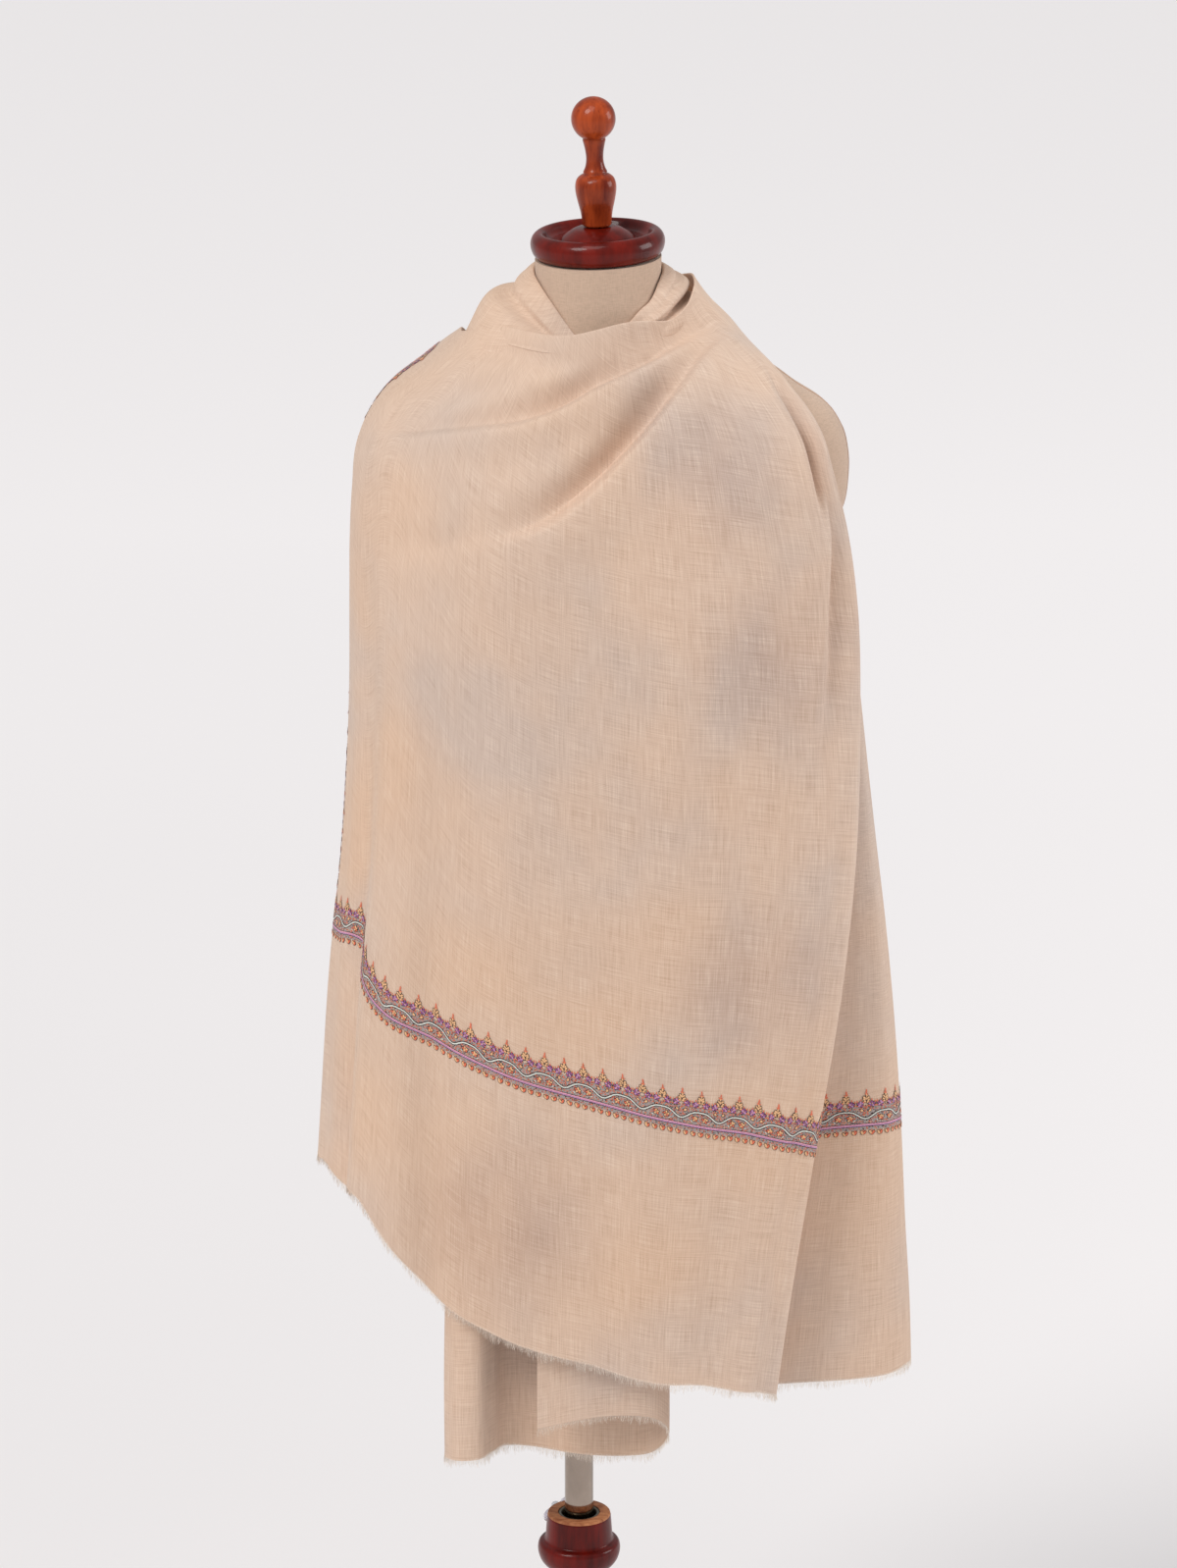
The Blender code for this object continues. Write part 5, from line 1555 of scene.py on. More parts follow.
class HangingEnd(Drape):
    """The shawl's other end, under the panel. across is a place from 0 to 1, level a height."""

    reach = (0.001, 0.0005)
    columns = 180
    rows = 120

    @staticmethod
    def line(name: str, place: Array) -> Array:
        """A column of the section table, read at places from 0 to 1 along it."""
        return smooth(np.linspace(0.0, 1.0, len(UNDER_PLAN)), column(UNDER_PLAN, name), place)

    def surface(self, across: Array, level: Array) -> Array:
        """The hem's section, scaled and moved at each level and bent back with the panel.

        Args:
            across, level: places across and down the cloth

        Returns:
            Points.
        """
        wide = read(UNDER_ROWS, "z", "wide", level)
        deep = read(UNDER_ROWS, "z", "deep", level)
        x = read(UNDER_ROWS, "z", "middle_x", level) + wide * (self.line("x", across) - UNDER_MIDDLE[0])
        y = read(UNDER_ROWS, "z", "middle_y", level) + deep * (self.line("y", across) - UNDER_MIDDLE[1])
        y = y + read(UNDER_ROWS, "z", "follow", level) * np.minimum(x - FRONT_X, 0.0) ** 2
        return np.stack((x, y, level), axis=-1)

    def build(self, cloth: Material, wool: Material) -> bpy.types.Object:
        """Make the end and its fray.

        Args:
            cloth, wool: the woven cloth and the fray's wool

        Returns:
            The end.
        """
        places = np.linspace(0.0, 1.0, self.columns)
        low = self.line("low", places) + FRINGE_DROP
        z = UNDER_TOP + (low - UNDER_TOP) * np.linspace(0.0, 1.0, self.rows)[:, None]
        points = self.surface(np.broadcast_to(places, z.shape), z)
        skin = Gather("hanging_end", [cloth])
        skin.shell(points, self.weave_map(points))
        piece = skin.build("form", "cloth", ["shawl_under"])
        fray = Fray("end_fray", 4).build(points[-1], wool, "fringe_under")
        return piece


# ---- embroidery
class BandRow(NamedTuple):
    """A point of a border's double line: its place across the cloth and its height."""

    across: float
    z: float


PANEL_BAND = table(
    BandRow,
    (-180, 0.955), (-110, 0.965), (-90, 0.975), (-80, 0.977),
    (-70, 0.981), (-62, 0.975), (-57, 0.963), (-53, 0.952),
    (-50, 0.943), (-45, 0.932), (-40, 0.924), (-35, 0.9145),
    (-30, 0.905), (-20, 0.889), (-10, 0.8755), (0, 0.865),
    (10, 0.855), (20, 0.8455), (30, 0.8365), (40, 0.829),
    (50, 0.8215), (60, 0.815), (75, 0.807), (90, 0.801),
    (120, 0.801), (180, 0.804),
)
STRIP_BAND = table(
    BandRow,
    (0.0, 0.805), (1.0, 0.805), (1.5, 0.805), (2.0, 0.797),
    (2.5, 0.794), (3.0, 0.792),
)
EDGE_BAND = table(
    BandRow,
    (-117, 0.985), (-113, 1.030), (-106, 1.080), (-112, 1.135),
    (-119, 1.21), (-125, 1.42), (-127, 1.49),
)
STRIP_EDGE = table(BandRow, (2.86, 0.80), (2.84, 1.10), (2.78, 1.30))


class LevelBand:
    """A border that runs across the cloth. s is metres along its double line, t metres up the cloth."""

    mirrored = False
    steps = 900

    def __init__(self, drape: "Drape", rows: Sequence[BandRow], ends: tuple) -> None:
        """Measure the line between two places across the drape.

        Args:
            drape: the cloth that it is sewn to
            rows: the line's table
            ends: where the border starts and ends
        """
        self.drape = drape
        self.rows = rows
        self.stations = np.linspace(*ends, self.steps)
        height = read(rows, "across", "z", self.stations)
        self.run = run_length(drape.surface(self.stations, height)[None], 1)[0]
        self.length = float(self.run[-1])

    def place(self, s: Array, t: Array) -> tuple[Array, Array]:
        """Points and normals on the cloth; t is carried up each column at its true length.

        Args:
            s, t: distances along and across the border

        Returns:
            Points and normals.
        """
        across = np.interp(s, self.run, self.stations)
        base = read(self.rows, "across", "z", across)
        down = self.drape.slopes(across, base)[1]
        rise = 2 * self.drape.reach[1] / np.linalg.norm(down, axis=-1)
        level = base + t * rise
        return self.drape.surface(across, level), self.drape.normal(across, level)


class UprightBand:
    """A border that runs down an edge of the cloth. s is metres down it, t metres across it."""

    steps = 80
    widths = np.linspace(-0.012, 0.036, 33)

    def __init__(self, drape: "Drape", rows: Sequence[BandRow], ends: tuple, points_to: float) -> None:
        """Measure the line between two heights; points_to is the sign of the way its spires point.

        Args:
            drape: the cloth that it is sewn to
            rows: the line's table
            ends: where the border starts and ends
            points_to: 1 or -1, the way the spires point
        """
        self.drape = drape
        self.mirrored = points_to < 0
        self.heights = np.linspace(*ends, self.steps)
        ordered = sorted(rows, key=lambda row: row.z)
        line = smooth(column(ordered, "z"), column(ordered, "across"), self.heights)
        self.length = abs(ends[1] - ends[0])
        pitch = self.widths[1] - self.widths[0]
        zero = int(round(-self.widths[0] / pitch))
        self.across = np.zeros((self.steps, len(self.widths)))
        self.across[:, zero] = line
        for first, last, way in ((zero, len(self.widths) - 1, 1), (zero, 0, -1)):
            for k in range(first, last, way):
                right = self.drape.slopes(self.across[:, k], self.heights)[0]
                grade = np.maximum(np.linalg.norm(right, axis=-1) / (2 * self.drape.reach[0]), 0.0002)
                self.across[:, k + way] = self.across[:, k] + way * points_to * pitch / grade

    def place(self, s: Array, t: Array) -> tuple[Array, Array]:
        """Points and normals on the cloth, from the table of places at each height and width.

        Args:
            s, t: distances along and across the border

        Returns:
            Points and normals.
        """
        row = np.clip(s / self.length, 0.0, 1.0) * (self.steps - 1)
        pitch = self.widths[1] - self.widths[0]
        col = np.clip((t - self.widths[0]) / pitch, 0.0, len(self.widths) - 1.001)
        r, c = np.minimum(row.astype(int), self.steps - 2), col.astype(int)
        a, b = row - r, col - c
        upper = self.across[r, c] * (1 - b) + self.across[r, c + 1] * b
        lower = self.across[r + 1, c] * (1 - b) + self.across[r + 1, c + 1] * b
        across = upper * (1 - a) + lower * a
        level = self.heights[0] + (self.heights[-1] - self.heights[0]) * row / (self.steps - 1)
        return self.drape.surface(across, level), self.drape.normal(across, level)


class Petal(NamedTuple):
    """One filled stitch in a repeat, in millimetres: its place, half sizes and lean in degrees."""

    silk: Silk
    s: float
    t: float
    long: float
    wide: float
    lean: float


REPEAT = 33.6  # millimetres, two spires
SPIRES = (8.4, 25.2)
VINE_HIGH = 12.6
VINE_LOW = 5.9


def flower(s: float, t: float, first: Silk, second: Silk, size: float = 1.0) -> tuple:
    """Five petals in two silks round an ochre eye.

    Args:
        s, t: distances along and across the border
        first: silk of the outer petals
        second: silk of the inner petals
        size: length of a petal

    Returns:
        The petals.
    """
    petals = []
    for i in range(5):
        lean = 90.0 + 72.0 * i
        out = 1.65 * size
        place = (s + out * math.cos(math.radians(lean)), t + out * math.sin(math.radians(lean)))
        petals.append(Petal(first if i % 2 else second, *place, 1.25 * size, 0.95 * size, lean))
    return (*petals, Petal(Silk.OCHRE, s, t, 0.55 * size, 0.5 * size, 0.0))


def spire(s: float) -> tuple:
    """A salmon stalk over a cluster of ochre leaves, between two plum flowers.

    Args:
        s: distance along the border

    Returns:
        The petals.
    """
    leaves = tuple(
        Petal(Silk.OCHRE, s + side * x, y, long, 0.86, 90.0 - side * lean)
        for x, y, long, lean in ((1.5, 25.2, 1.5, 36.0), (2.0, 23.2, 1.55, 52.0), (1.3, 21.3, 1.2, 60.0))
        for side in (-1.0, 1.0)
    )
    twigs = tuple(
        Petal(Silk.SALMON, s + side * x, y, long * 1.25, 0.5, 90.0 - side * lean)
        for x, y, long, lean in (
            (0.85, 28.1, 0.9, 42.0), (7.3, 21.6, 1.0, 14.0), (4.7, 22.9, 0.9, -8.0),
            (2.5, 20.8, 0.9, 30.0), (7.5, 17.6, 0.8, 60.0), (2.4, 17.4, 0.8, 20.0),
        )
        for side in (-1.0, 1.0)
    )
    stem = (
        Petal(Silk.SALMON, s, 30.2, 2.6, 0.70, 90.0),
        Petal(Silk.OCHRE, s, 27.0, 1.5, 0.85, 90.0),
        Petal(Silk.OCHRE, s, 24.3, 1.3, 0.8, 90.0),
    )
    left = flower(s - 4.7, 19.3, Silk.PLUM, Silk.LILAC)
    right = flower(s + 4.7, 19.3, Silk.LILAC, Silk.PLUM)
    return (*leaves, *twigs, *stem, *left, *right)


def repeat_petals() -> tuple:
    """All filled stitches of one repeat: spires, blossoms about the vine, and the drops below."""
    crest, trough = SPIRES
    cup = tuple(
        Petal(silk, trough + side * x, y, long, wide, 90.0 - side * lean)
        for silk, x, y, long, wide, lean in (
            (Silk.OCHRE, 3.6, 13.4, 1.45, 1.05, 48.0), (Silk.SALMON, 3.9, 15.3, 0.9, 0.4, 70.0),
            (Silk.SALMON, 1.2, 11.6, 1.0, 0.42, 30.0), (Silk.SALMON, 5.9, 14.9, 0.9, 0.4, 10.0),
            (Silk.SALMON, 1.9, 9.4, 1.0, 0.42, 66.0), (Silk.WHITE, 9.3, 4.2, 1.2, 0.42, 128.0),
            (Silk.SALMON, 8.2, 3.0, 1.0, 0.4, 96.0), (Silk.SALMON, 3.4, 3.3, 0.9, 0.4, 80.0),
        )
        for side in (-1.0, 1.0)
    )
    crown = tuple(
        Petal(Silk.SALMON, crest + side * x, y, long, 0.4, 90.0 - side * lean)
        for x, y, long, lean in (
            (1.1, 9.9, 1.0, 22.0), (7.2, 9.6, 1.1, 64.0), (1.3, 3.5, 1.0, 70.0),
            (8.4, 6.0, 1.0, 20.0), (3.9, 14.6, 1.1, 74.0), (7.4, 14.8, 1.0, 96.0),
        )
        for side in (-1.0, 1.0)
    )
    blooms = (
        *flower(crest - 4.4, 6.6, Silk.SALMON, Silk.OCHRE, 0.95),
        *flower(crest + 4.4, 6.6, Silk.SALMON, Silk.OCHRE, 0.95),
        Petal(Silk.SALMON, trough, 15.6, 1.2, 0.5, 90.0),
        Petal(Silk.SALMON, crest, 15.4, 1.3, 0.5, 90.0),
    )
    drops = tuple(
        petal
        for i in range(5)
        for petal in (
            Petal(Silk.OCHRE, REPEAT / 5 * (i + 0.5) - 0.95, -7.1, 2.1, 1.0, -64.0),
            Petal(Silk.SALMON, REPEAT / 5 * (i + 0.5) + 0.95, -7.1, 2.1, 1.0, -116.0),
            Petal(Silk.SALMON, REPEAT / 5 * (i + 0.5), -5.1, 0.8, 0.5, 90.0),
            Petal(Silk.SALMON, REPEAT / 5 * i, -3.2, 0.7, 0.42, 10.0),
        )
    )
    return (*spire(crest), *spire(trough), *cup, *crown, *blooms, *drops)


@dataclass
class Sozni:
    """A fine needlework border laid on the cloth stitch by stitch.

    Attributes:
        name: Name of the piece.
        band: Where it runs.
        body: Body that it rides on.
    """

    name: str
    band: "LevelBand | UprightBand"
    body: str = "form"

    def __post_init__(self) -> None:
        """Gather into one piece with a slot for each silk."""
        self.silks = list(Silk)
        self.chance = np.random.default_rng(RANDOM_SEED + len(self.name))
        self.cells = max(1, int(self.band.length * 1000.0 // REPEAT))
        self.stretch = self.band.length * 1000.0 / (self.cells * REPEAT)
        self.stitches: list[tuple[Array, Array, int]] = []

    def lay(self, s: Array, t: Array, lift: Array, faces: Array, silk: Silk) -> None:
        """Note down points in millimetres along and across the band, raised by a lift, with their faces.

        Args:
            s, t: distances along and across the border
            lift: height off the cloth
            faces: corners of each face
            silk: the silk that it is sewn in
        """
        turned = faces[:, ::-1] if self.band.mirrored else faces
        spots = np.stack(np.broadcast_arrays(s, t, lift), axis=-1).reshape(-1, 3)
        self.stitches.append((spots, turned, self.silks.index(silk)))

    def fans(self, petal: Petal, grow: float, lift: float, dome: float, silk: Silk, jitter: Array) -> None:
        """One petal of every repeat: six points on a pointed oval round a raised middle.

        A point at angle a of the oval is (long cos a, wide sin a) turned by the lean, where
        the repeat's own jitter shifts, leans and scales it a little.

        Args:
            petal: the petal's place, size and turn
            grow: how much wider and longer, for an outline
            lift: height off the cloth
            dome: how far its middle stands up
            silk: the silk that it is sewn in
            jitter: how each repeat strays
        """
        turn = np.linspace(0.0, 2 * math.pi, 6, endpoint=False)
        scale = 1.0 + 0.10 * jitter[:, 2:3]
        long = (petal.long + grow) * scale * np.cos(turn)
        wide = (petal.wide + grow) * scale * np.sin(turn)
        lean = np.radians(petal.lean + 9.0 * jitter[:, 3:4])
        s = petal.s + REPEAT * np.arange(self.cells)[:, None] + 0.28 * jitter[:, :1]
        t = petal.t + 0.28 * jitter[:, 1:2]
        s = np.hstack((s, s + long * np.cos(lean) - wide * np.sin(lean)))
        t = np.hstack((t, t + long * np.sin(lean) + wide * np.cos(lean)))
        ring = np.arange(6)
        fan = np.stack((np.zeros(6, int), 1 + ring, 1 + (ring + 1) % 6), axis=1)
        faces = (fan + 7 * np.arange(self.cells)[:, None, None]).reshape(-1, 3)
        raised = np.full(s.shape, STITCH_LIFT + lift)
        raised[:, 0] += dome
        self.lay(s, t, raised, faces, silk)

    def stroke(
        self, centre: Callable[[Array], Array], width: float, lift: float, silk: Silk, offset: float = 0.0
    ) -> None:
        """A line of stitches along the whole band, three points wide with a raised middle.

        Args:
            centre: offset of the line at each distance
            width: width of the line
            lift: height off the cloth
            silk: the silk that it is sewn in
            offset: place of the line across the border
        """
        steps = self.cells * 42
        s = np.linspace(0.0, self.cells * REPEAT, steps)[:, None]
        middle = centre(s)
        slope = np.gradient(middle[:, 0], s[:, 0])[:, None]
        across = np.array([-0.5, 0.0, 0.5]) * width + offset
        normal = np.sqrt(1.0 + slope**2)
        wave = 0.10 * np.sin(s * 1.7) + 0.06 * np.sin(s * 4.1)
        along = s - slope / normal * across
        over = middle + across / normal + wave * 0.6
        raised = np.full(over.shape, STITCH_LIFT + lift)
        raised[:, 1] += 0.00012
        faces = grid_faces(steps, 3)
        self.lay(along, over, raised, faces, silk)

    def ground(self) -> None:
        """The grey-blue ground behind the vine, scalloped above, and the narrow strip below."""
        steps = self.cells * 48
        s = np.linspace(0.0, self.cells * REPEAT, steps)[:, None]
        scallop = 16.4 + 2.6 * np.abs(np.sin(math.pi * s / (REPEAT / 4))) + 0.5 * np.sin(s * 2.3)
        share = np.linspace(0.0, 1.0, 12)
        t = -4.5 + (scallop + 4.5) * share
        raised = np.full(t.shape, STITCH_LIFT * 0.55)
        self.lay(s, t, raised, grid_faces(steps, 12), Silk.GROUND)

    def specks(self, silk: Silk, number: int, low: float, high: float) -> None:
        """Short seed stitches scattered over the ground.

        Args:
            silk: the silk that it is sewn in
            number: stitches for each metre
            low, high: lowest and highest place across the border
        """
        count = number * self.cells
        s = self.chance.uniform(0.0, self.cells * REPEAT, count)[:, None]
        t = self.chance.uniform(low, high, count)[:, None]
        lean = self.chance.uniform(0.0, math.pi, count)[:, None]
        corner = np.radians(np.array([0.0, 90.0, 180.0, 270.0]))
        long = 0.80 * np.cos(corner)
        wide = 0.34 * np.sin(corner)
        across = s + long * np.cos(lean) - wide * np.sin(lean)
        over = t + long * np.sin(lean) + wide * np.cos(lean)
        faces = np.arange(4 * count).reshape(-1, 4)
        self.lay(across, over, np.full(across.shape, STITCH_LIFT * 0.85), faces, silk)

    def build(self) -> bpy.types.Object:
        """Lay the ground, the vine, the double line and every petal with its dark outline."""
        self.ground()
        self.specks(Silk.SALMON, 190, -4.0, 18.0)
        self.specks(Silk.OCHRE, 40, 1.0, 18.0)
        self.specks(Silk.DARK, 150, -4.0, 21.0)

        def vine(s: Array) -> Array:
            """Flat crests and round troughs: high - (high - low) w^1.7, w = (1 - cos) / 2."""
            w = 0.5 - 0.5 * np.cos(2 * math.pi * (s - SPIRES[0]) / REPEAT)
            return VINE_HIGH - (VINE_HIGH - VINE_LOW) * w**1.7

        self.stroke(vine, 2.5, 0.00010, Silk.DARK)
        self.stroke(vine, 1.15, 0.00024, Silk.WHITE)
        self.stroke(np.zeros_like, 3.0, 0.00010, Silk.DARK)
        self.stroke(np.zeros_like, 1.0, 0.00024, Silk.ROSE, 0.6)
        self.stroke(np.zeros_like, 0.9, 0.00024, Silk.LILAC, -0.5)
        for petal in repeat_petals():
            jitter = self.chance.uniform(-1.0, 1.0, (self.cells, 4))
            if petal.wide > 0.75:
                self.fans(petal, 0.46, 0.00014, 0.00004, Silk.DARK, jitter)
            self.fans(petal, 0.0, 0.00026, 0.00016, petal.silk, jitter)
        spots = np.concatenate([stitch[0] for stitch in self.stitches])
        points, normals = self.band.place(spots[:, 0] * self.stretch / 1000.0, spots[:, 1] / 1000.0)
        raised = points + normals * spots[:, 2:]
        skin = Gather(self.name, [silk.value.material() for silk in self.silks])
        start = 0
        for spot, faces, slot in self.stitches:
            skin.add(raised[start:start + len(spot)], faces, slot)
            start += len(spot)
        return skin.build(self.body, "cloth")


# ---- frayed ends
@dataclass
class Fray:
    """Loose warp ends below a woven edge.

    Attributes:
        name: Name of the piece.
        seed: Seed of its chances.
        pitch: Distance between threads in metres.
    """

    name: str
    seed: int
    pitch: float = 0.00062

    def build(self, edge: Array, wool: Material, replaced: str) -> bpy.types.Object:
        """Hang a thread at every step of the edge, in loose tufts of uneven length.

        Args:
            edge: points of the cloth's edge
            wool: the fray's wool
            replaced: the node that it stands for

        Returns:
            The fray.
        """
        chance = np.random.default_rng(RANDOM_SEED * 100 + self.seed)
        run = run_length(edge[None], 1)[0]
        count = int(run[-1] / self.pitch)
        s = (np.arange(count) + chance.uniform(0.1, 0.9, count)) * run[-1] / count
        root = np.column_stack([np.interp(s, run, edge[:, axis]) for axis in range(3)])
        ahead = np.column_stack([np.interp(s + 0.001, run, edge[:, axis]) for axis in range(3)])
        along = unit(ahead - root + 1e-9)
        away = unit(np.cross(along, np.array((0.0, 0.0, -1.0))))
        tuft = 0.16 * np.sin(s * 900.0) + 0.14 * np.sin(s * 390.0 + 1.3)
        lean = (tuft + chance.normal(0.0, 0.13, count))[:, None]
        out = chance.normal(0.0, 0.10, count)[:, None]
        length = chance.uniform(0.0042, 0.0092, count) * (0.85 + 0.2 * np.sin(s * 150.0))
        share = np.array([-0.25, 0.05, 0.40, 0.72, 1.0])
        fall = share[None] * length[:, None]
        sway = np.clip(share, 0.0, 1.0)[None] ** 1.5 * length[:, None]
        down = np.array((0.0, 0.0, -1.0))
        aside = (along * lean + away * out)[:, None]
        path = root[:, None] + fall[..., None] * down + sway[..., None] * aside
        radii = np.array([0.00015, 0.00016, 0.00014, 0.00011, 0.00005])[None]
        radii = radii * chance.uniform(0.8, 1.25, (count, 1))
        skin = Gather(self.name, [wool])
        skin.tube(path, radii, 3)
        return skin.build("form", "fray", [replaced])


# ---- dress form and stand
def upright(points: Array) -> Array:
    """Local points of a turned piece that stands on the pole's axis."""
    return points


def on_neck(height: float) -> Callable[[Array], Array]:
    """A function that sets a turned piece on the tilted neck, a height above its top."""

    def place(points: Array) -> Array:
        """Turn about Y by the tilt, then lift along the tilted axis.

        Args:
            points: grid of points, rows by columns

        Returns:
            The tilted points.
        """
        sine, cosine = math.sin(-TILT_ANGLE), math.cos(TILT_ANGLE)
        x, y, z = points[..., 0], points[..., 1], points[..., 2] + height
        return np.stack((NECK_X + x * cosine + z * sine, y, NECK_TOP - x * sine + z * cosine), axis=-1)

    return place


@dataclass
class Torso:
    """The linen-covered form, without limbs.

    Attributes:
        columns: Points round a ring.
        rows: Not used.
    """

    columns: int = 144
    rows: int = 200
    welt: float = 0.0007

    def surface(self, angle: Array, z: Array) -> Array:
        """An oval ring, x = w sin a and y = -d cos a, with the front and back depths eased together.

        Args:
            angle, z: places round the body, and heights

        Returns:
            Points.
        """
        w = read(TORSO_ROWS, "z", "half_width", z)
        front = read(TORSO_ROWS, "z", "front", z)
        back = read(TORSO_ROWS, "z", "back", z)
        depth = np.where(np.cos(angle) > 0, front, back)
        share = np.clip((z - NECK_SHIFT_FROM) / 0.02 + 0.5, 0.0, 1.0)
        middle = FORM_X + (NECK_X - FORM_X) * share
        x = middle + w * np.sin(angle)
        t = np.clip((z - FORM_TILT_FROM) / (FORM_TILT_FULL - FORM_TILT_FROM), 0.0, 1.0)
        tilt = FORM_TILT * t * t * (3 - 2 * t)
        return np.stack((x, -depth * np.cos(angle), z + tilt * (x - middle)), axis=-1)

    def caps(self, ring: Array, drop: float) -> Array:
        """Rings that close an end: shrunk towards the middle in steps.

        Args:
            ring: the last ring of the body
            drop: which way the end closes

        Returns:
            Points of the rings.
        """
        middle = ring.mean(axis=0)
        shares = np.array([0.985, 0.9, 0.6, 0.25, 0.0])[:, None, None]
        closed = middle + (ring - middle) * shares
        closed[..., 2] += drop * (1 - shares[..., 0] ** 2)
        return closed

    def build(self, linen: Material, seam: Material) -> bpy.types.Object:
        """Make the cover and its seams.

        Args:
            linen, seam: the cover's and the seams' linen

        Returns:
            Nothing.
        """
        angle = np.linspace(0.0, 2 * math.pi, self.columns, endpoint=False)
        z = spaced((NECK_TOP, 1.53, 1.40, TORSO_ROWS[0].z), (14, 56, 130))[:, None]
        size = (len(z), self.columns)
        body = self.surface(np.broadcast_to(angle, size), np.broadcast_to(z, size))
        top = self.caps(body[0], 0.0)[::-1]
        foot = self.caps(body[-1], 0.006)
        rings = np.concatenate((top, body, foot))
        skin = Gather("form_cover", [linen])
        skin.add(rings, grid_faces(len(rings), self.columns, wrap=True))
        cover = skin.build("form", "linen", ["torso"])
        self.seams(seam)
        return cover

    def seams(self, linen: Material) -> None:
        """Lapped seams down the front, the back, the sides and the princess lines.

        Args:
            linen: the cover's linen
        """
        level = np.linspace(SEAM_TOP, TORSO_ROWS[0].z + 0.001, 150)
        bow = np.sin(np.clip((level - 0.9) / 0.5, 0.0, 1.0) * math.pi)
        lines = [np.full_like(level, math.radians(heading)) for heading in (0.0, 90.0, 180.0, 270.0)]
        princess = ((42, 1), (318, -1), (140, -1), (220, 1))
        lines += [math.radians(heading) + side * 0.10 * bow for heading, side in princess]
        path = np.stack([self.surface(line, level) for line in lines])
        skin = Gather("form_seams", [linen])
        skin.tube(path, np.full(path.shape[:2], self.welt), 6)
        skin.build("form", "linen")


@dataclass
class Cap:
    """The dished cap on the neck and the knob above it."""

    segments: int = 96

    def build(self) -> None:
        """Turn both pieces."""
        cap = Gather("neck_cap_turned", [CAP_WOOD.material()])
        cap.lathe(rounded(CAP_PROFILE, 2), self.segments, on_neck(SEAM))
        cap.build("form", "stand_wood", ["neck_cap"])
        first = math.asin(FINIAL_STEM[-1][0] / BALL_RADIUS)
        sweep = np.linspace(math.pi - first, 0.0, 40)[1:]
        ball = np.column_stack((BALL_RADIUS * np.sin(sweep), BALL_HEIGHT + BALL_RADIUS * np.cos(sweep)))
        profile = np.concatenate((rounded(FINIAL_STEM, 2), ball))
        knob = Gather("finial_turned", [FINIAL_WOOD.material()])
        knob.lathe(profile, 72, on_neck(FINIAL_RISE + 2 * SEAM))
        knob.build("form", "finial_wood", ["finial"])


